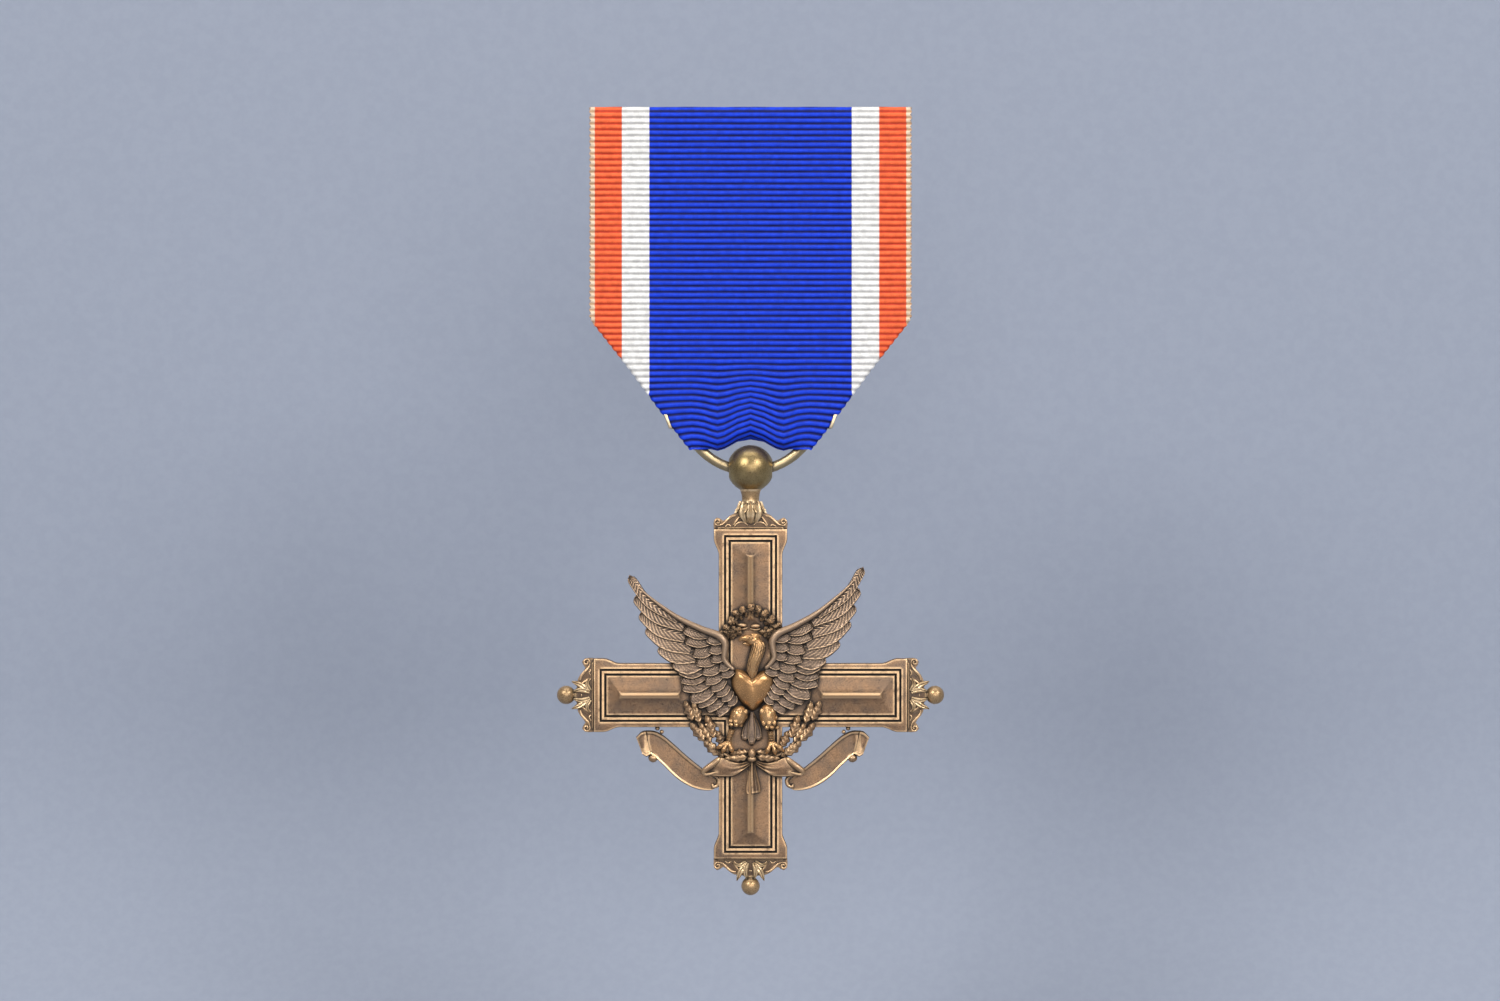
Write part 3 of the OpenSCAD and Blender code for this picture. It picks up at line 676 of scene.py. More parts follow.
def makeSilk():
    # woven silk: stripes across the width, ribs along it, read from the strip's own UV map; each rib gets a
    # painted highlight on its top and painted shade in the groove beside it
    stripes = {"blueHalf": 0.318, "whiteHalf": 0.404, "redHalf": 0.4885}
    # each stripe's colour is darkened in the grooves as painted shade and lightened on the rib tops as a
    # painted highlight
    tones = {  # each stripe's tone between the ribs and on them
        "blue": ((0.0, 0.003, 0.09), (0.006, 0.05, 0.68)), "white": ((0.5, 0.485, 0.47), (0.95, 0.93, 0.89)),
        "red": ((0.5, 0.04, 0.014), (0.98, 0.16, 0.05)), "edge": ((0.5, 0.3, 0.17), (0.85, 0.66, 0.48))}
    lengthMm, widthMm = ribbonPath()[1][-1], 2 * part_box("ribbon_front")[1].x / mm
    material, tree, shader = newMaterial("ribbonSilk")
    uv = addNode(tree, "ShaderNodeUVMap", uv_map="Silk").outputs[0]
    parts = addNode(tree, "ShaderNodeSeparateXYZ", {0: uv}).outputs
    across = sums(tree, "MULTIPLY", parts[0], widthMm)
    along = sums(tree, "MULTIPLY", parts[1], lengthMm)
    inMm = addNode(tree, "ShaderNodeCombineXYZ", {0: across, 1: along}).outputs[0]
    mottle = noise(tree, inMm, 1.2, 4.0)
    wave = addNode(tree, "ShaderNodeMapping", {"Vector": inMm, "Scale": (9.0, 1.4, 1.0)}).outputs[0]
    strand = noise(tree, wave, 1.0, 3.0, 0.7)
    # the rib phase is the mask for the painted light: painted highlight on rib tops, painted shade in the
    # grooves
    ribShadeWave = sums(tree, "COSINE", sums(tree, "MULTIPLY", along, 2 * math.pi / silk["rib"]))
    crest = spread(tree, sums(tree, "ADD", ribShadeWave, sums(tree, "MULTIPLY", strand, 0.6)), -0.5, 1.35)
    offset = sums(tree, "ABSOLUTE", sums(tree, "SUBTRACT", parts[0], 0.5))
    offset = sums(tree, "ADD", offset, sums(tree, "MULTIPLY", sums(tree, "SUBTRACT", strand, 0.5), 0.003))
    # each stripe runs from its painted groove shade to its painted rib-top highlight
    ribShadedStripes = {name: mixColour(tree, crest, low, high) for name, (low, high) in tones.items()}
    colour = ribShadedStripes["blue"]
    for edge, name in (("blueHalf", "white"), ("whiteHalf", "red"), ("redHalf", "edge")):
        at = stripes[edge]
        colour = mixColour(tree, spread(tree, offset, at - 0.0012, at + 0.0012), colour, ribShadedStripes[name])
    worn = spread(tree, mottle, 0.3, 0.75, 0.82, 1.12)
    grey = addNode(tree, "ShaderNodeCombineColor", {0: worn, 1: worn, 2: worn}).outputs[0]
    colour = mixColour(tree, 1.0, colour, grey, "MULTIPLY")
    tree.links.new(colour, shader.inputs["Base Color"])
    tree.links.new(spread(tree, strand, 0.25, 0.75, 0.42, 0.68), shader.inputs["Roughness"])
    warp = sums(tree, "COSINE", sums(tree, "MULTIPLY", across, 2 * math.pi / 0.13))
    height = sums(tree, "ADD", sums(tree, "MULTIPLY", warp, 0.35), sums(tree, "MULTIPLY", strand, 1.1))
    bump = addNode(tree, "ShaderNodeBump", {"Height": height, "Strength": 0.7, "Distance": 0.00004})
    tree.links.new(bump.outputs[0], shader.inputs["Normal"])
    shader.inputs["Sheen Weight"].default_value = 0.02
    shader.inputs["Specular IOR Level"].default_value = 0.22
    shader.inputs["Sheen Roughness"].default_value = 0.4
    shader.inputs["Sheen Tint"].default_value = (0.75, 0.82, 1.0, 1.0)
    return material


ribbonSilk = makeSilk()
ribbonLength = makeRibbon()
print("ribbon made,", round(ribbonLength, 1), "mm long")


turned = {"leaves": 8, "leafRadius": 1.3, "ringSegments": 160}


def makeRing():
    low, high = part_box("suspension_ring")
    wire = (high.y - low.y) / 2 / mm
    clearSelection()
    bpy.ops.mesh.primitive_torus_add(major_radius=(high.x - low.x) / 2 / mm - wire, minor_radius=wire,
                                     major_segments=turned["ringSegments"], minor_segments=24)
    obj = bpy.context.object
    obj.data.transform(Matrix.Translation(ringCentre) @ Matrix.Rotation(math.pi / 2, 4, "X"))
    finished(obj, "suspensionRing", "ring", ringBrass, ["suspension_ring"])


def makeBall():
    # a bored ball: its wall is spun about the bore
    low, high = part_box("suspension_ball")
    radius = (high.z - low.z) / 2 / mm
    bore = math.sqrt(radius ** 2 - ((high.x - low.x) / 2 / mm) ** 2)
    first = math.asin((bore + 0.12) / radius)
    profile = [(radius * math.sin(a), radius * math.cos(a)) for a in np.linspace(first, math.pi - first, 48)]
    mouth = radius * math.cos(first)
    profile = [(bore, 0), (bore, mouth - 0.12), (bore + 0.04, mouth - 0.03)] + profile
    profile += [(bore + 0.04, 0.03 - mouth), (bore, 0.12 - mouth), (bore, 0)]
    obj = lathe(profile, 72)
    obj.data.transform(Matrix.Translation(ballCentre) @ Matrix.Rotation(math.pi / 2, 4, "Y"))
    finished(obj, "suspensionBall", "cross", ballBrass, ["suspension_ball"])


def wrapped(obj, radius, turn=0):
    # rolls a flat piece round the Z axis, its face outwards
    points = readPoints(obj.data)
    angle = points[:, 0] / radius + turn
    far = -points[:, 1]
    writePoints(obj.data, np.stack([far * np.sin(angle), -far * np.cos(angle), points[:, 2]], 1))
    return obj


def makeStem():
    # a neck that opens into the ball and a bell of hanging leaves that grips the cross
    top = ballCentre.z - crossCentre.z - 2.35
    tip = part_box("cross_plate")[1].z / mm - crossCentre.z + 0.35
    bell = [(0, 0), (0.35, 0.05), (0.8, 0.45), (1.2, 1.05), (1.42, 1.65), (1.3, 2.15), (1.05, 2.6),
            (0.98, 2.95), (1.0, 3.4)]
    profile = [(r, tip + z) for r, z in bell] + [(1.1, top - 0.3), (1.24, top), (0, top)]
    parts = [lathe(profile)]

    def veins(u, v):
        waves = 0.07 * np.cos(v * 9) * (1 - u)
        return 0.2 * arched(v) + waves + 0.1 * peak(v, 0, 0.15) + 0.12 * peak(u, 0.62, 0.1)
    longLeaf = [(0, tip + z, lift) for z, lift in (
        (2.8, -0.08), (2.15, 0.2), (1.65, 0.36), (1.05, 0.14), (0.45, -0.25), (0.08, -0.7))]
    # short tips turn out between the long leaves
    flick = [(0, tip + 2.6, 0), (0, tip + 2.0, 0.36), (0, tip + 1.5, 0.7)]
    for late, spine, widths, floor, along, across in (
            (0, longLeaf, [0.3, 0.46, 0.56, 0.5, 0.34, 0.1], -0.4, 30, 14),
            (0.5, flick, [0.16, 0.28, 0.05], -0.3, 16, 8)):
        for k in range(turned["leaves"]):
            piece = blade(spine, widths, veins, floor, along, across)
            parts.append(wrapped(piece, turned["leafRadius"], 2 * math.pi * (k + late) / turned["leaves"]))
    onCross(joined("leafedStem", parts), "leafedStem", "suspension_stem", giltBronze)


makeRing()
makeBall()
makeStem()
print("ring, ball and stem made")


def between(first, second, height, floor=0.2, along=40, across=14):
    # a strip between two edges in X and Z; v is -1 on the first edge and 1 on the second
    mesh, u, v, front = stripPoints(along, across)
    a, b = smoothRun(first, u), smoothRun(second, u)
    at = a + (b - a) * ((v + 1) / 2)[:, None]
    y = np.where(front, faceY - height(u, v), floor)
    writePoints(mesh, np.stack([at[:, 0], y, at[:, 1]], 1))
    markRelief(mesh, front, u, v, height)
    return objectOf("strip", mesh)


def dome(outline, middle, height, floor=0.2, segments=64, rings=32):
    # a swelling with a given outline; height(r, angle) is read from its middle (0) to its edge (1)
    clearSelection()
    bpy.ops.mesh.primitive_uv_sphere_add(segments=segments, ring_count=rings, radius=1)
    obj = bpy.context.object
    points = readPoints(obj.data)
    line = smoothRun(list(outline) + [outline[0]], np.linspace(0, 1, 400)) - np.array(middle)
    angles, reach = np.arctan2(line[:, 1], line[:, 0]), np.hypot(line[:, 0], line[:, 1])
    order = np.argsort(angles)
    angle = np.arctan2(points[:, 1], points[:, 0])
    r = np.hypot(points[:, 0], points[:, 1])
    far = np.interp(angle, angles[order], reach[order], period=2 * math.pi) * r
    y = np.where(points[:, 2] >= 0, faceY - height(r, angle), floor - 0.1 * points[:, 2])
    writePoints(obj.data, np.stack([middle[0] + far * np.cos(angle), y, middle[1] + far * np.sin(angle)], 1))
    return obj


def toned(obj, value):
    # a whole part stands proud or lies low
    setRelief(obj.data, np.full(len(obj.data.vertices), value))
    return obj


crossShape = {"half": 3.6, "ear": 4.15, "earLength": 2.9, "groove": 0.3, "grooveDepth": 0.4, "panelHalf": 2.2,
              "panelInset": 1.5, "hip": 1.7, "ridge": 0.6, "backRim": 0.7, "backSink": 0.2}
plateLow, plateHigh = (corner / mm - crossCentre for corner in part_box("cross_plate"))
arms = {  # way, length, where the panel starts
    "up": ((0, 1), plateHigh.z, 7.2), "left": ((-1, 0), -plateLow.x, 6.6),
    "down": ((0, -1), -plateLow.z, 7.0), "right": ((1, 0), plateHigh.x, 6.6)}


def onArm(way, across, along):
    return across * way[1] + along * way[0], along * way[1] - across * way[0]


def crossOutline(shrink=0.0):
    half, ear = crossShape["half"] - shrink, crossShape["ear"] - shrink
    line = []
    for name in ("right", "up", "left", "down"):
        way, length, _ = arms[name]
        length -= shrink
        u = np.linspace(0, 1, 9)
        start = length - crossShape["earLength"]
        flare = [(half + (ear - half) * step(0, 1, t), start + 1.8 * t) for t in u]
        side = [(half, half)] + flare + [(ear, length)]
        line += [onArm(way, a, l) for a, l in side]
        line += [onArm(way, -a, l) for a, l in reversed(side[1:])]
    return line


def carve(obj, cutters):
    # takes the cutters out of a piece
    cutter = joined("cutter", cutters)
    applyModifier(obj, "BOOLEAN", operation="DIFFERENCE", solver="EXACT", use_self=True, object=cutter)
    bpy.data.objects.remove(cutter)
    return obj


def grooveBar(way, across, along, size):
    # a bar that narrows towards its inner side, to cut a groove
    clearSelection()
    bpy.ops.mesh.primitive_cube_add(size=1)
    bar = bpy.context.object
    points = readPoints(bar.data)
    deep = crossShape["grooveDepth"]
    inner = points[:, 1] > 0
    a = across + points[:, 0] * (size[0] - 0.08 * inner)
    l = along + points[:, 2] * (size[1] - 0.08 * inner)
    x, z = onArm(way, a, l)
    writePoints(bar.data, np.stack([x, np.where(inner, faceY + deep, faceY - 0.3), z], 1))
    return bar


def hippedPanel(way, length, start):
    # a long raised panel: hollow slopes up to a narrow bright ridge, and a hip at each end
    half, hip, ridge = crossShape["panelHalf"], crossShape["hip"], crossShape["ridge"]
    end = length - crossShape["panelInset"]
    mesh, u, v, front = stripPoints(60, 48)
    share = 2 * u - 1
    t = 1 - np.abs(v)
    longHalf = (end - start) / 2
    hipAt = longHalf - hip * t
    side = np.where(np.abs(share) < 0.5, share / 0.5 * hipAt,
                    np.sign(share) * (hipAt + (longHalf - hipAt) * (np.abs(share) - 0.5) / 0.5))
    endT = (longHalf - np.abs(side)) / hip
    t = np.minimum(t, endT)
    height = 0.05 + ridge * (0.42 * t ** 1.3 + 0.58 * t ** 9)
    x, z = onArm(way, v * half, side + (start + end) / 2)
    writePoints(mesh, np.stack([x, np.where(front, faceY - height, -0.5), z], 1))
    return cleanUp(objectOf("panel", mesh))


def makeCrossPlate():
    plate = slab(crossOutline(), faceY, backY, 0.09)
    cutters = []
    for way, length, _ in arms.values():
        for half, inset in ((2.88, 0.8), (2.36, 1.32)):
            width, end = crossShape["groove"], length - inset
            for side in (-1, 1):
                cutters.append(grooveBar(way, side * half, (end + half) / 2, (width, end - half + width)))
            cutters.append(grooveBar(way, 0, end, (2 * half + width, width)))
    carve(plate, cutters)
    sunk = slab(crossOutline(crossShape["backRim"]), backY - crossShape["backSink"], backY + 0.5, 0.05)
    carve(plate, [sunk])
    for arm in arms.values():
        panel = hippedPanel(*arm)
        applyModifier(plate, "BOOLEAN", operation="UNION", solver="EXACT", object=panel)
        bpy.data.objects.remove(panel)
    # the grooves are marked as low and the ridges as proud, for the toning: dark patina in the grooves, and on
    # the ridges bright bare metal that is partly wear and partly a painted highlight
    y = readPoints(plate.data)[:, 1]
    low = (y > faceY + 0.02) & (y < faceY + crossShape["grooveDepth"] + 0.05)
    setRelief(plate.data, np.where(low, -1, np.clip((faceY - y - 0.26) / 0.2, 0, 1)))
    onCross(plate, "crossPlate", "cross_plate", struckBronze)


def makeTablet():
    low, high = (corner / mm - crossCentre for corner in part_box("back_tablet"))
    r, top = high.x, high.y
    profile = [(0, low.y), (r, low.y), (r, top - 0.06), (r - 0.05, top), (r - 0.3, top),
               (r - 0.36, top - 0.06), (r - 0.5, top - 0.06), (0, top - 0.04)]
    obj = lathe([(radius, -y) for radius, y in profile], 72)
    obj.data.transform(Matrix.Rotation(math.pi / 2, 4, "X"))
    onCross(obj, "backTablet", "back_tablet", struckBronze)


def spiral(centre, radius, start, turns):
    # a curl that closes in on its centre
    u = np.linspace(0, 1, 16)
    angle = start + turns * 2 * math.pi * u
    far = radius * (1 - 0.8 * u)
    return [(centre[0] + f * math.cos(a), centre[1] + f * math.sin(a)) for f, a in zip(far, angle)]


def crestParts():
    # the scrollwork at the end of an arm, its foot on X
    edge = [(4.15, -0.2), (4.2, 0.6), (4.12, 1.05), (3.8, 1.32), (3.45, 1.2), (3.1, 0.95), (2.75, 1.15),
            (2.3, 1.55), (1.8, 1.82), (1.2, 1.85), (0.6, 2.0), (0, 2.1)]
    outline = edge + mirrored(reversed(edge[:-1]), True)
    parts = [toned(slab(outline, -0.6, 0.7, 0.06), -0.62)]
    # each curl's line, the share of its radius at its ends, and its radius
    curls = [([(3.55, 0.42), (3.1, 0.6), (2.6, 1.08), (2.15, 1.42), (1.65, 1.52)], 0.5, 0.17),
             ([(0.3, 0.4), (0.65, 0.72), (1.1, 0.8), (1.55, 0.62), (1.9, 0.25)], 0.6, 0.12),
             ([(1.2, 1.5), (1.6, 0.95), (1.95, 0.4)], 0.7, 0.13),
             ([(2.2, 0.25), (2.5, 0.5), (2.95, 0.25)], 0.7, 0.1),
             (spiral((3.72, 0.82), 0.42, -2.2, 1.35), 0.7, 0.13)]
    lines = [([(-3.8, 0.1), (0, 0.12), (3.8, 0.1)], 1.0, 0.11)]
    for flip in (True, False):
        lines += [(mirrored(line, flip), share, radius) for line, share, radius in curls]
    for line, share, radius in lines:
        parts.append(toned(flatRod(line, -0.62, [radius * share, radius, radius * share], 48, 3), 0.6))
    return parts


def palmette():
    # gilt leaves that open from the crest, with a dark slot down the middle
    shapes = [([(0.35, 0.45), (0.62, 1.3), (0.42, 2.35)], [0.25, 0.36, 0.3, 0.06]),
              ([(0.6, 0.8), (1.15, 1.5), (1.55, 2.5)], [0.3, 0.42, 0.3, 0.05]),
              ([(0.5, 0.35), (1.2, 0.75), (2.05, 0.5)], [0.25, 0.33, 0.22, 0.05])]

    def fold(u, v):
        body = 0.34 * arched(v) * (0.45 + 0.55 * np.sin(math.pi * np.clip(0.15 + u * 0.8, 0, 1)))
        return body - 0.12 * peak(v, 0, 0.22) - 0.45
    return [blade(mirrored(spine, flip), widths, fold, floor=0.4, along=22, across=10)
            for flip in (True, False) for spine, widths in shapes]


def makeCrests():
    places = {"top": "up", "left": "left", "right": "right", "bottom": "down"}  # each crest's arm
    reach = {"left": 20.9, "right": 20.9, "bottom": 21.65}  # how far out each finial's ball sits
    pattern = joined("crestPattern", crestParts())
    gilt = joined("palmettePattern", palmette())
    neck = [(0, -2.1), (0.55, -2.05), (0.62, -1.75), (0.45, -1.5), (0.55, -1.25), (0.72, -1.12), (0.6, -0.92)]
    turn = np.linspace(-0.95, math.pi / 2, 26)
    ball = lathe(neck + [(1.05 * math.cos(a), 1.05 * math.sin(a)) for a in turn], 48)
    for name, arm in places.items():
        way, length, _ = arms[arm]
        turn = Matrix.Rotation(math.atan2(way[0], way[1]), 4, "Y")
        crest = objectOf("crest", pattern.data.copy())
        crest.data.transform(turn @ Matrix.Translation((0, 0, length)))
        onCross(crest, "crest" + name.title(), "crest_" + name, struckBronze)
        if name in reach:
            leaves = objectOf("leaves", gilt.data.copy())
            leaves.data.transform(turn @ Matrix.Translation((0, 0, length)))
            knob = objectOf("knob", ball.data.copy())
            knob.data.transform(turn @ Matrix.Translation((0, 0, reach[name])))
            onCross(joined("finial", [knob, leaves]), "finial" + name.title(), "finial_" + name, giltBronze)
    for obj in (pattern, gilt, ball):
        bpy.data.objects.remove(obj)


makeCrossPlate()
makeTablet()
makeCrests()
print("cross plate and crests made")


wing = {
    "flightTips": [
        (-13.72, 13.6), (-12.95, 11.3), (-12.29, 9.5), (-11.5, 7.95), (-10.13, 5.79), (-8.45, 3.99),
        (-8.0, 2.95), (-7.85, 1.9), (-7.7, 1.1), (-6.8, -0.3), (-6, -1), (-5, -1.5), (-3.9, -2)],
    "flightRoots": [
        (-8.2, 8.45), (-7.5, 7.8), (-7.4, 6.6), (-6.7, 5.4), (-6.2, 4.5), (-5.7, 3.7), (-5.2, 3), (-5, 2.3),
        (-4.6, 1.6), (-4.2, 1), (-3.6, 0.6), (-2.9, 0.2), (-2.3, -0.3)],
    "middleTips": [
        (-7.45, 7.6), (-7.3, 6.4), (-6.5, 4.9), (-6.1, 3.9), (-5.4, 2.9), (-5.15, 1.7), (-4.5, 0.9),
        (-3.9, 0.35), (-3.3, -0.2), (-2.6, -0.7)],
    "middleRoots": [
        (-4.6, 6.9), (-4.4, 6.2), (-4.3, 5.3), (-3.6, 4.3), (-3.4, 3.3), (-3.2, 2.6), (-3, 1.9), (-2.6, 1.2),
        (-2.3, 0.6), (-2, 0)],
    "innerTips": [(-4.8, 6.6), (-4.6, 5.4), (-4.4, 4.3), (-3.5, 3.3), (-3.3, 2.6)],
    "innerRoots": [(-3.3, 6.3), (-3.1, 5.4), (-3, 4.6), (-2.5, 3.7), (-2, 2.9)],
    "arm": [
        (-13.55, 13.3), (-12.4, 12.0), (-11.1, 10.88), (-9.8, 9.92), (-8.64, 9.1), (-7.4, 8.4), (-6.37, 7.92),
        (-5.3, 7.45), (-4.3, 7.1), (-3.6, 6.8), (-3.08, 6.3), (-2.85, 5.7), (-2.95, 4.7), (-2.95, 4.1),
        (-2.5, 3.45), (-1.85, 2.9)],
    "armRadii": [0.06, 0.12, 0.16, 0.2, 0.25, 0.3, 0.33, 0.36, 0.4, 0.43, 0.44, 0.42, 0.36, 0.32, 0.27, 0.2],
    "tilt": 2.0}


def feather(root, tip, bow, half, lift, floor, pitch=0.42, point=0.3):
    # one feather: barbs slant from a raised lower rim to an upper edge that tucks under its neighbour
    root, tip = np.array(root, float), np.array(tip, float)
    way = (tip - root) / np.linalg.norm(tip - root)
    length = np.linalg.norm(tip - root)
    out = np.array([way[1], -way[0]])
    out = out if out[1] < 0 else -out
    spine = [root, root + way * length * 0.5 + out * bow, tip - way * length * 0.12 + out * bow * 0.35, tip]
    # v runs to the left of the way, so the lower side is found from its sign
    lower = 1 if np.array([-way[1], way[0]]) @ out > 0 else -1

    def height(u, v):
        side = v * lower
        tilt = 0.3 * (1 + side) / 2
        rim = 0.11 * peak(side, 0.8, 0.13) + 0.07 * peak(u, 0.955, 0.03)
        shaft = 0.035 * peak(side, -0.15, 0.1)
        barbs = 0.028 * np.cos(2 * math.pi * (u * length + 0.55 * half * np.abs(side + 0.15) * 2) / pitch)
        barbs *= step(0.98, 0.7, np.abs(side)) * step(1.0, 0.9, u)
        edge = 0.3 * beyond(np.abs(v), 0.9) ** 2 + 0.3 * beyond(u, 0.975) ** 2
        return lift + tilt + rim + shaft + barbs - edge - 0.12 * (1 - u)
    along = int(max(26, min(104, length / pitch * 7)))
    widths = [half * 0.8, half * 1.02, half, half * 0.9, half * point]
    return blade(spine, widths, height, floor=floor, along=along, across=16)


def wingParts():
    parts = []
    tips, roots = wing["flightTips"], wing["flightRoots"]
    count = len(tips)
    for i in reversed(range(count)):
        gaps = [math.dist(tips[i], tips[j]) for j in (i - 1, i + 1) if 0 <= j < count]
        half = 0.56 * min(max(sum(gaps) / len(gaps), 0.9), 1.9)
        bow = 0.75 - 0.045 * i
        half = half * (0.5, 0.75, 0.85)[i] if i < 3 else half
        lift, point = 0.3 + 0.02 * (count - i), 0.05 if i == 0 else 0.3
        parts.append(feather(roots[i], tips[i], bow, half, lift, -0.55, point=point))
    for name, half, lift, bow in (("middle", 0.62, 0.6, 0.3), ("inner", 0.6, 0.78, 0.2)):
        for root, tip in reversed(list(zip(wing[name + "Roots"], wing[name + "Tips"]))):
            parts.append(feather(root, tip, bow, half, lift, -0.5, 0.3))
    # the front edge of the wing thickens into its rounded arm
    arm = [(x, faceY - min(0.5 + 0.045 * i, 0.85), z) for i, (x, z) in enumerate(wing["arm"])]
    parts.append(toned(rod(arm, wing["armRadii"], 150, 5), 0.5))
    # a thin web holds the feathers together from behind
    rear = [(-13.0, 12.6)] + [(x * 0.96 + 0.15, z * 0.96 + 0.25) for x, z in tips[1:]]
    front = [(-12.7, 12.4), (-10.4, 10.0), (-8.2, 8.9), (-5.8, 7.5), (-3.6, 6.5), (-2.9, 5), (-2.6, 3.6),
             (-1.4, 2.6), (-1, 0), (-1.2, -1.2)]
    parts.append(between(rear, front, lambda u, v: 0.22 + 0 * u, floor=0.3, along=60, across=20))
    return parts


def makeWings():
    # the right wing mirrors the left one and stands turned by twice the tilt
    left = joined("wingLeft", wingParts())
    right = objectOf("wingRight", left.data.copy())
    tilt = Matrix.Rotation(math.radians(wing["tilt"]), 4, "Y")
    right.data.transform(tilt.inverted() @ Matrix.Diagonal((-1, 1, 1, 1)) @ tilt)
    onCross(left, "wingLeft", "wing_left", featherBronze, 50)
    onCross(right, "wingRight", "wing_right", featherBronze, 50)


makeWings()
print("wings made")


eagle = {
    "breast": [(-2.16, 2.24), (-1.6, 2.88), (-0.64, 2.72), (0.25, 2.5), (1.1, 2.68), (1.84, 2.72),
               (2.62, 1.95), (2.35, 0.6), (1.45, -0.75), (0.19, -1.63), (-1.0, -0.8), (-1.95, 0.7)],
    "neck": [(0.24, 1.2), (0.2, 2.2), (0.22, 3.1), (0.45, 4), (0.78, 5), (0.9, 5.75), (0.62, 6.25)],
    "neckRadii": [0.22, 0.36, 0.48, 0.56, 0.6, 0.6, 0.5],
    "hackleRows": 13, "hacklesInRow": 5, "hackleSeed": 5}


def makeBody():
    def swell(r, angle):
        # two lobes above, a cleft between them and a keel below
        lobes = 0.12 * peak(angle, 0.9, 0.5) + 0.12 * peak(angle, 2.25, 0.5)
        cleft = 0.3 * peak(angle, 1.57, 0.2) * step(0.25, 0.9, r)
        keel = 0.12 * peak(angle, -1.57, 0.35) * r
        return 1.52 * arched(r) * (1 + lobes * r) - cleft + keel * (1 - r)
    fuller = [(0.2 + 1.06 * (x - 0.2), 0.9 + 1.05 * (z - 0.9)) for x, z in eagle["breast"]]
    body = dome(fuller, (0.2, 1.0), swell, segments=96, rings=48)
    onCross(body, "eagleBody", "eagle_body", bodyBronze, 60)


def onNeck(share, turn):
    # a point on the neck's skin; its third part is how far it stands above the face
    share = np.array([max(share, 0)])
    (x, z), radius = smoothRun(eagle["neck"], share)[0], smoothRun(eagle["neckRadii"], share)[0, 0]
    lift = 0.64 + 0.15 * min(share[0] * 6, 3) + radius * math.cos(turn)
    return x + radius * 1.08 * math.sin(turn), z, lift


def makeHackles():
    # neck feathers lie row over row and stand out at the sides
    strew = np.random.RandomState(eagle["hackleSeed"])
    count = eagle["hacklesInRow"]
    hackles = []
    for i, share in enumerate(np.linspace(0.93, 0.3, eagle["hackleRows"])):
        for k in range(count):
            turn = math.radians(-84 + 42 * k + (21 if i % 2 else 0)) + strew.uniform(-0.1, 0.1)
            out = turn * (1.0 + 0.25 * abs(math.sin(turn)))
            spine = [onNeck(share, turn), onNeck(share - 0.07, out), onNeck(share - 0.15, out)]
            hackles.append(blade(spine, [0.08, 0.15, 0.12, 0.02], lambda u, v: 0.07 * arched(v) + 0.05 * u,
                                 floor=faceY - 0.2, along=14, across=6))
    return hackles


def makeHead():
    y = faceY - 0.72
    neck = [(x, y - 0.15 * min(i, 3), z) for i, (x, z) in enumerate(eagle["neck"])]
    upperBill = [(0.2, y - 0.35, 6.5), (-0.45, y - 0.35, 6.5), (-1.0, y - 0.3, 6.42), (-1.3, y - 0.25, 6.12)]
    lowerBill = [(0.1, y - 0.25, 5.95), (-0.4, y - 0.25, 5.85), (-0.95, y - 0.2, 5.92)]
    brow = [(0.0, y - 0.5, 6.85), (0.6, y - 0.5, 6.85), (1.25, y - 0.3, 6.72)]
    parts = [rod(neck, eagle["neckRadii"], 40, 6), blob((0.3, y - 0.35, 6.25), (0.75, 0.62, 0.6), -10),
             rod(upperBill, [0.42, 0.4, 0.28, 0.1], 30, 5), rod(lowerBill, [0.34, 0.24, 0.1], 24, 5),
             rod(brow, [0.16, 0.2, 0.08], 20, 4)]
    head = fused("eagleHead", parts, 0.06, 3)
    eye = (0.05, y - 0.93, 6.5)
    turn = np.linspace(0, 2 * math.pi, 14)
    lid = [(eye[0] + 0.24 * math.cos(a), eye[2] + 0.2 * math.sin(a)) for a in turn]
    extras = [blob(eye, (0.15, 0.12, 0.13)), flatRod(lid, y - 0.88, [0.05, 0.05], 40, 3)]
    head = joined("eagleHead", [head] + extras + makeHackles())
    onCross(head, "eagleHead", "eagle_head", bodyBronze, 60)


legs = {
    "legLeft": {
        "node": "leg_left", "thigh": [(-0.9, -1.36), (-1.44, -2.45), (-2, -3.45)],
        "shank": [(-2, -3.7), (-2.35, -4.6), (-2.53, -5.36)],
        "toes": [(-3.9, -6.0), (-3.26, -6.5), (-2.0, -6.45)]},
    "legRight": {
        "node": "leg_right", "thigh": [(1.73, -1.18), (2, -2.55), (2.2, -3.8)],
        "shank": [(2.2, -3.9), (2.3, -4.7), (2.37, -5.36)],
        "toes": [(1.75, -6.6), (2.9, -6.7), (3.85, -6.3)]}}


def thighFeathers(thigh):
    # four rows that overlap downwards
    feathers = []
    for row in range(4):
        share = 0.1 + 0.24 * row
        cx, cz = smoothRun(thigh, np.array([share]))[0]
        nx, nz = smoothRun(thigh, np.array([min(share + 0.3, 1.05)]))[0]
        for k in range(3):
            s = -0.55 + 0.55 * k + (0.25 if row % 2 else 0)
            lifts = [0.66 + math.sqrt(max(r * r - s * s, 0)) for r in (0.8, 0.82, 0.68)]
            spine = [(cx + s, cz, lifts[0]), ((cx + nx) / 2 + s * 0.95, (cz + nz) / 2, lifts[1]),
                     (nx + s * 0.75, nz, lifts[2])]
            feathers.append(blade(spine, [0.16, 0.3, 0.26, 0.04], lambda u, v: 0.14 * arched(v) + 0.1 * u,
                                  floor=-1.3, along=20, across=8))
    return feathers


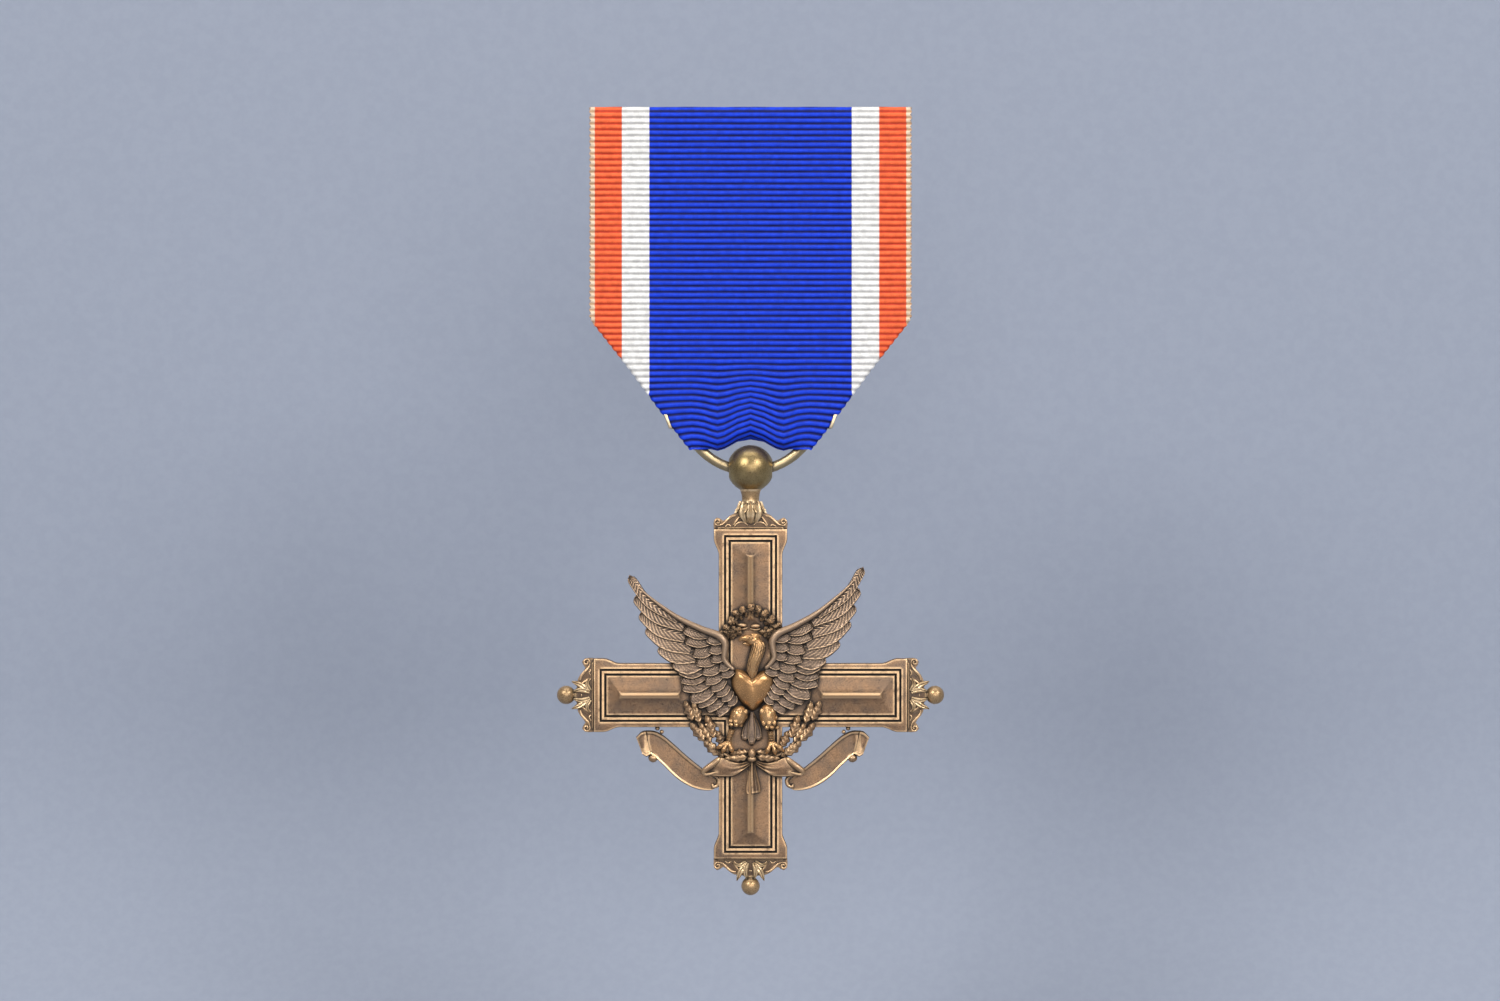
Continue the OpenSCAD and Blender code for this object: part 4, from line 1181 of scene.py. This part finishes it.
def makeLeg(name, node, thigh, shank, toes):
    y = faceY - 0.55
    (x0, z0), (x1, z1), (x2, z2) = thigh
    muscle = [(x0, y - 0.1, z0 + 0.2), (x1, y - 0.2, z1), (x2, y, z2)]
    leg = fused(name, [rod(muscle, [0.66, 0.94, 0.84, 0.42], 40, 7),
                       flatRod(shank, y - 0.05, [0.34, 0.28, 0.32], 30, 5)], 0.07, 3)
    parts = [leg] + thighFeathers(thigh)
    for share in (0.1, 0.3, 0.5, 0.7, 0.9):
        # rings of scale round the shank
        cx, cz = smoothRun(shank, np.array([share]))[0]
        parts.append(blob((cx, y - 0.12, cz), (0.36, 0.36, 0.1)))
    ankleX, ankleZ = shank[-1]
    parts.append(blob((ankleX, y - 0.15, ankleZ - 0.05), (0.46, 0.42, 0.36)))
    for tipX, tipZ in toes:
        # a toe: two fat joints and a claw that grips the branch
        line = [(ankleX + (tipX - ankleX) * t, y - lift, ankleZ + (tipZ - ankleZ) * t + rise)
                for t, lift, rise in ((0, 0.15, 0), (0.35, 0.42, 0.1), (0.7, 0.4, 0.06), (1.0, 0.05, -0.05))]
        parts.append(rod(line, [0.26, 0.3, 0.22, 0.3, 0.2, 0.05], 40, 5))
    onCross(joined(name, parts), name, node, bodyBronze, 60)


def makeTail():
    def rim(u, v):
        edge = 0.16 * peak(np.abs(v), 0.78, 0.16) + 0.14 * peak(u, 0.9, 0.06)
        return 0.3 + 0.1 * (1 - v * v) + edge - 0.3 * beyond(np.abs(v), 0.93) - 0.3 * beyond(u, 0.96)
    parts = []
    for x, z, lift in ((-0.75, -5.1, 0.0), (1.0, -5.1, 0.0), (0.13, -5.65, 0.12)):
        spine = [(0.15, -1.9, lift), (0.15 + (x - 0.15) * 0.5, -3.5, lift), (x, z, lift)]
        parts.append(blade(spine, [0.2, 0.36, 0.52, 0.5, 0.24], rim, floor=-0.4, along=40, across=14))
    onCross(joined("tailFan", parts), "tailFan", "tail", featherBronze, 50)


makeBody()
makeHead()
for name, leg in legs.items():
    makeLeg(name, **leg)
makeTail()
print("eagle made")


def leaf(root, tip, half, lift, lobes=3.0, floor=-0.4):
    # a leaf with a wavy edge and a midrib
    middle = ((root[0] + tip[0]) / 2 + 0.06, (root[1] + tip[1]) / 2 - 0.04)
    u = np.linspace(0, 1, 25)
    wavy = 1 - 0.2 * np.cos(2 * math.pi * lobes * u)
    widths = half * (0.22 + np.sin(math.pi * (0.1 + 0.86 * u))) * wavy * 0.9
    widths[-1] = 0.04

    def height(u, v):
        veins = 0.05 * np.cos(2 * math.pi * (u * 4 - np.abs(v) * 0.7)) * (1 - v * v)
        return lift + 0.26 * arched(v) + 0.09 * peak(v, 0, 0.13) - 0.1 * np.abs(v) + veins
    return blade([root, middle, tip], widths, height, floor=floor, along=36, across=12)


wreath = {
    "middleX": 0.2, "berries": [(-5.0, -3.3), (-4.3, -5.9), (-6.1, -2.4)],
    "branch": [(-0.1, -6.9), (-1.9, -7.0), (-3.5, -6.3), (-4.8, -5.0), (-5.7, -3.4), (-6.2, -1.8),
               (-6.4, -0.6)],
    "leaves": [  # root, tip and half width of each leaf on the left branch
        ((-6.55, -2.75), (-7.45, -0.6), 0.5), ((-5.8, -3.05), (-6.5, -0.7), 0.46),
        ((-5.25, -5.1), (-6.8, -3.1), 0.5), ((-4.55, -5.3), (-5.75, -3.1), 0.46),
        ((-4.1, -4.75), (-5.05, -2.25), 0.5), ((-3.6, -6.7), (-5.3, -5.1), 0.5),
        ((-3.1, -5.8), (-3.85, -4.05), 0.45), ((-3.1, -6.9), (-4.45, -5.7), 0.42),
        ((-0.4, -6.95), (-2.95, -7.15), 0.48), ((-0.3, -6.4), (-2.3, -6.65), 0.42)]}


def makeWreath():
    middleX = wreath["middleX"]
    parts = []
    for flip in (False, True):
        branch = mirrored(wreath["branch"], flip, middleX)
        parts.append(flatRod(branch, faceY - 0.3, [0.2, 0.18, 0.1], 60, 4))
        for i, (root, tip, half) in enumerate(wreath["leaves"]):
            root, tip = mirrored((root, tip), flip, middleX)
            parts.append(leaf(root, tip, half, 0.34 + 0.06 * (i % 3)))
        for x, z in mirrored(wreath["berries"], flip, middleX):
            parts.append(blob((x, faceY - 0.5, z), (0.17, 0.2, 0.17)))
    onCross(joined("laurelWreath", parts), "laurelWreath", "laurel_wreath", struckBronze, 50)


crown = {
    "arch": [(-2.9, 6.9), (-2.3, 7.6), (-1.75, 8.5), (-1.0, 9.3), (0.0, 9.65), (1.0, 9.35), (1.75, 8.6),
             (2.5, 7.8), (3.2, 7.0)],
    "leaves": 22, "seed": 11, "rosettes": [(-2.35, 6.95), (2.5, 6.9), (-1.75, 7.3), (1.85, 7.2)],
    "knots": [(-0.95, 7.95, 6), (0.56, 7.85, -4)]}  # x, z and turn of each knot


def makeCrown():
    arch = crown["arch"]
    strew = np.random.RandomState(crown["seed"])
    parts = [flatRod(arch, faceY - 0.25, [0.16, 0.22, 0.16], 60, 4)]
    for k in range(crown["leaves"]):
        # leaves lean to each side in turn, with a small one inwards at every second
        x, z = smoothRun(arch, np.array([k / (crown["leaves"] - 1)]))[0]
        out = math.atan2(z - 7.2, x - 0.1)
        lean = strew.uniform(0.35, 0.95) * (1 if k % 2 else -1)
        reach = strew.uniform(0.72, 1.0)
        tip = (x + reach * math.cos(out + lean), z + reach * math.sin(out + lean))
        parts.append(leaf((x, z), tip, 0.34, 0.4 + 0.14 * (k % 3), 2.0))
        if k % 2:
            back = out + math.pi - lean * 0.6
            parts.append(leaf((x, z), (x + 0.6 * math.cos(back), z + 0.6 * math.sin(back)), 0.26, 0.36, 2.0))
    for cx, cz in crown["rosettes"]:
        for i in range(5):
            a = 2 * math.pi * i / 5 + cx
            tip = (cx + 0.85 * math.cos(a), cz + 0.65 * math.sin(a))
            parts.append(leaf((cx, cz), tip, 0.3, 0.42 + 0.07 * i, 2.0))
    for cx, cz, turn in crown["knots"]:
        parts.append(blob((cx, faceY - 0.45, cz), (0.52, 0.3, 0.24), turn))
        sling = [(cx - 0.6, cz - 0.3), (cx, cz - 0.42), (cx + 0.6, cz - 0.3)]
        parts.append(flatRod(sling, faceY - 0.3, [0.1, 0.14, 0.1], 20, 3))
    onCross(joined("leafCrown", parts), "leafCrown", "leaf_crown", struckBronze, 50)


bow = {
    "middleX": 0.3,
    "top": [(0.1, -7.3), (-1.2, -7.6), (-2.4, -7.3), (-3.45, -6.9), (-4.4, -7.65), (-5.4, -8.4)],
    "low": [(0.1, -7.75), (-0.9, -8.5), (-1.9, -9.1), (-3.3, -9.2), (-4.5, -9.05), (-5.35, -8.7)],
    "mouth": [(-3.4, -7.0), (-4.35, -7.8), (-5.25, -8.5), (-5.1, -8.88), (-4.3, -8.75), (-3.7, -8.6)],
    "mouthLift": [0.6, 0.78, 0.75, 0.72, 0.7, 0.6],
    "tailLeft": [(-0.05, -7.2), (-0.35, -9.0), (-0.55, -10.6), (-0.45, -11.15)],
    "tailRight": [(0.45, -7.2), (0.75, -8.8), (1.1, -10.2), (1.15, -10.9)]}


def makeBow():
    def loop(u, v):
        # creased near the knot and rolled up at the open end
        swell = 0.5 + 0.35 * np.sin(math.pi * np.clip(u * 1.1, 0, 1)) * (1 - 0.6 * v * v)
        crease = 0.1 * np.cos(v * 8) * peak(u, 0.15, 0.25)
        return swell + crease + 0.22 * peak(u, 0.93, 0.07) - 0.35 * beyond(np.abs(v), 0.9) ** 2

    def folded(u, v):
        return 0.5 + 0.14 * np.cos(v * 5.5 + 0.6) + 0.06 * u - 0.3 * beyond(np.abs(v), 0.9) ** 2
    parts = [blob((0.15, faceY - 0.8, -6.5), (0.42, 0.42, 0.5)),
             blob((0.15, faceY - 0.6, -7.15), (0.5, 0.4, 0.35))]
    for flip in (False, True):
        top, low, mouth = (mirrored(bow[key], flip, bow["middleX"]) for key in ("top", "low", "mouth"))
        parts.append(between(top, low, loop, floor=-0.3, along=48, across=18))
        # a bright rolled band round the open end, turned under into its mouth
        band = [(x, faceY - lift, z) for (x, z), lift in zip(mouth, bow["mouthLift"])]
        parts.append(toned(rod(band, [0.24, 0.36, 0.32, 0.2, 0.15, 0.08], 60, 5), 0.35))
    parts.append(between(bow["tailLeft"], bow["tailRight"], folded, floor=-0.3, along=36, across=18))
    onCross(joined("bowKnot", parts), "bowKnot", "bow", struckBronze, 50)


scroll = {
    "middleX": 0.25,
    "inner": [(-11.9, -4.05), (-10.9, -4.1), (-9.88, -4.6), (-8.57, -5.7), (-7.27, -6.88), (-5.9, -8.0),
              (-4.6, -9.0), (-3.8, -9.6)],
    "outer": [(-12.2, -6.3), (-11.06, -6.9), (-9.88, -7.93), (-8.58, -9.24), (-7.27, -10.15), (-5.96, -10.67),
              (-4.65, -10.8), (-3.87, -10.5)],
    "fold": [(-11.9, -4.05), (-12.4, -4.2), (-12.95, -4.75)],
    "foldLow": [(-11.3, -6.75), (-11.75, -6.95), (-12.2, -6.75)],
    "curl": [(-11.55, -6.95), (-10.6, -7.35)],
    "hook": [(-4.6, -9.0), (-3.95, -9.15), (-3.6, -9.6), (-3.75, -10.2), (-4.2, -10.35), (-4.35, -10.0)],
    "links": [(-10.55, -3.75), (-10.05, -4.15)]}


def makeScroll(name, node, flip):
    def band(u, v):
        rim = 0.17 * peak(np.abs(v), 0.87, 0.07)
        wave = 0.05 * np.sin(u * 9) + 0.12 * peak(u, 0.06, 0.05)
        return -0.35 + rim + wave - 0.2 * beyond(np.abs(v), 0.94)

    def turnedEnd(u, v):
        rim = 0.13 * peak(np.abs(v), 0.86, 0.08)
        return -0.1 + rim + 0.1 * np.sin(math.pi * u) - 0.2 * beyond(np.abs(v), 0.92)

    def line(key):
        return mirrored(scroll[key], flip, scroll["middleX"])
    parts = [between(line("inner"), line("outer"), band, floor=0.6, along=64, across=22),
             between(line("fold"), line("foldLow"), turnedEnd, floor=0.5, along=20, across=22),
             flatRod(line("curl"), -0.55, [0.42, 0.45, 0.42], 20, 5),
             flatRod(line("hook"), -0.8, [0.12, 0.2, 0.22, 0.18, 0.1], 40, 4)]
    for (x, z), size in zip(line("links"), (0.26, 0.24)):
        # two little links hang it from the arm above
        parts.append(blob((x, -0.45, z), (size, 0.3, size)))
    onCross(joined(name, parts), name, node, struckBronze, 50)


makeWreath()
makeCrown()
makeBow()
makeScroll("scrollLeft", "scroll_left", False)
makeScroll("scrollRight", "scroll_right", True)
print("leaves, bow and scrolls made")


def makeFittings():
    soft = {"brooch_plate": ("broochPlate", "brooch", 0.12), "hinge_bracket": ("hingeBracket", "brooch", 0.06),
            "hinge_rivet": ("hingeRivet", "brooch", 0.08), "catch_base": ("catchBase", "brooch", 0.06),
            "pin_stem": ("pinStem", "pin", 0.02), "catch_lock": ("catchLock", "lock", 0.06)}
    for node, (name, body, edge) in soft.items():
        finished(softenedCopy(node, name, edge), name, body, broochNickel, [node])
    clasp = softenedCopy("fold_clasp", "foldClasp", 0.06)
    finished(clasp, "foldClasp", "drop", ringBrass, ["fold_clasp"])


def makeThreads():
    # running stitches: each dips into the silk at both ends
    material, tree, shader = newMaterial("sewingThread")
    place = addNode(tree, "ShaderNodeTexCoord").outputs["Object"]
    twist = addNode(tree, "ShaderNodeMapping", {"Vector": place, "Rotation": (0, 0.6, 0)}).outputs[0]
    wave = addNode(tree, "ShaderNodeTexWave", {"Vector": twist, "Scale": 1500.0, "Distortion": 2.0})
    tone = mixColour(tree, wave.outputs["Fac"], (0.03, 0.04, 0.16), (0.12, 0.14, 0.38))
    tree.links.new(tone, shader.inputs["Base Color"])
    shader.inputs["Roughness"].default_value = 0.8
    seams = (("seam_stitches", "seamThread", "brooch"), ("tack_stitches", "tackThread", "drop"))
    for node, name, body in seams:
        low, high = (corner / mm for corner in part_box(node))
        wide, tall = high.x - low.x, high.z - low.z
        alongX = wide > tall
        length = wide if alongX else tall
        count = max(3, int(length / 1.9))
        middleX, _, middleZ = (low + high) / 2
        dips = (high.y - 0.02, low.y + 0.12, low.y + 0.1, low.y + 0.12, high.y - 0.02)
        parts = []
        for k in range(count):
            a = (low.x if alongX else low.z) + length * (k + 0.12) / count
            b = a + length * 0.74 / count
            spots = zip((a, a + 0.15, (a + b) / 2, b - 0.15, b), dips)
            spine = [(p, q, middleZ) if alongX else (middleX, q, p) for p, q in spots]
            parts.append(rod(spine, [0.09, 0.1, 0.09], 18, 3))
        finished(joined(name, parts), name, body, material, [node])


makeFittings()
makeThreads()
print("fittings and threads made")


def makeCamera():
    view = {"lens": 100, "away": 474, "centreZ": -39.6, "centreX": -0.06}
    data = bpy.data.cameras.new("camera")
    data.lens = view["lens"]
    data.sensor_width = 36
    camera = objectOf("camera", data)
    camera.location = Vector((view["centreX"], -view["away"], view["centreZ"])) * mm
    camera.rotation_euler = (math.pi / 2, 0, 0)
    data.clip_start, data.clip_end = 0.01, 20
    bpy.context.scene.camera = camera


def makeStage():
    # one pale sheet: a floor below, curving up into a wall behind that can't be seen from the back
    stage = {"wall": 75, "floor": -125, "bend": 60, "wide": 1600, "front": -900, "top": 900}
    turn = np.linspace(0, math.pi / 2, 12)
    side = [(stage["front"], stage["floor"]), (stage["wall"] - stage["bend"], stage["floor"])]
    side += [(stage["wall"] - stage["bend"] + stage["bend"] * math.sin(a),
              stage["floor"] + stage["bend"] * (1 - math.cos(a))) for a in turn[1:]]
    side += [(stage["wall"], stage["top"])]
    half = stage["wide"] / 2
    points = [(x, y, z) for y, z in side for x in (-half, half)]
    mesh = bpy.data.meshes.new("paleSheet")
    mesh.from_pydata(points, [], [(2 * i, 2 * i + 1, 2 * i + 3, 2 * i + 2) for i in range(len(side) - 1)])
    mesh.transform(Matrix.Scale(mm, 4))
    sheet = objectOf("paleSheet", mesh)
    for polygon in mesh.polygons:
        polygon.use_smooth = True
    material, tree, shader = newMaterial("palePaper")
    place = addNode(tree, "ShaderNodeTexCoord").outputs["Object"]
    mottle = spread(tree, noise(tree, place, 900.0), 0.3, 0.7)
    tint = mixColour(tree, mottle, (0.27, 0.3, 0.37), (0.285, 0.315, 0.385))
    tree.links.new(tint, shader.inputs["Base Color"])
    shader.inputs["Roughness"].default_value = 0.9
    clear = addNode(tree, "ShaderNodeBsdfTransparent")
    behind = addNode(tree, "ShaderNodeNewGeometry").outputs["Backfacing"]
    seen = addNode(tree, "ShaderNodeMixShader", {0: behind, 1: shader.outputs[0], 2: clear.outputs[0]})
    tree.links.new(seen.outputs[0], tree.nodes["Material Output"].inputs[0])
    mesh.materials.append(material)


def makeLight(name, place, size, power, colour):
    data = bpy.data.lights.new(name, "AREA")
    data.shape = "RECTANGLE"
    data.size, data.size_y = size
    data.energy = power
    data.color = colour
    light = objectOf(name, data)
    light.location = place
    aim = Vector((0, 0, -0.045)) - light.location
    light.rotation_euler = aim.to_track_quat("-Z", "Y").to_euler()


lights = {  # place and size in metres, power in watts, colour
    "keyLeft": ((-0.42, -0.62, 0.45), (0.3, 0.3), 3.8, (1.0, 0.98, 0.95)),
    "keyRight": ((0.45, -0.6, 0.4), (0.3, 0.3), 3.4, (1.0, 0.98, 0.96)),
    "topStrip": ((0.0, -0.15, 0.75), (0.7, 0.2), 1.8, (1, 1, 1)),
    "frontSoft": ((0.15, -1.3, 0.15), (0.9, 0.6), 5.5, (1.0, 0.97, 0.93)),
    "backFill": ((0.1, 0.55, 0.25), (0.6, 0.4), 1.4, (1, 1, 1))}


def makeRoom():
    # a soft pale room; past the stage it shows in the stage's own tone
    world = bpy.data.worlds.new("softRoom")
    world.use_nodes = True
    tree = world.node_tree
    soft = tree.nodes["Background"]
    soft.inputs[0].default_value = (0.75, 0.8, 0.88, 1)
    soft.inputs[1].default_value = 0.3
    pale = addNode(tree, "ShaderNodeBackground", {0: (0.36, 0.4, 0.49, 1), 1: 1.0})
    seen = addNode(tree, "ShaderNodeLightPath").outputs["Is Camera Ray"]
    both = addNode(tree, "ShaderNodeMixShader", {0: seen, 1: soft.outputs[0], 2: pale.outputs[0]})
    tree.links.new(both.outputs[0], tree.nodes["World Output"].inputs[0])
    bpy.context.scene.world = world


makeCamera()
makeStage()
for name, settings in lights.items():
    makeLight(name, *settings)
makeRoom()
bpy.context.scene.view_settings.view_transform = "Standard"
print("camera, stage and lights made")
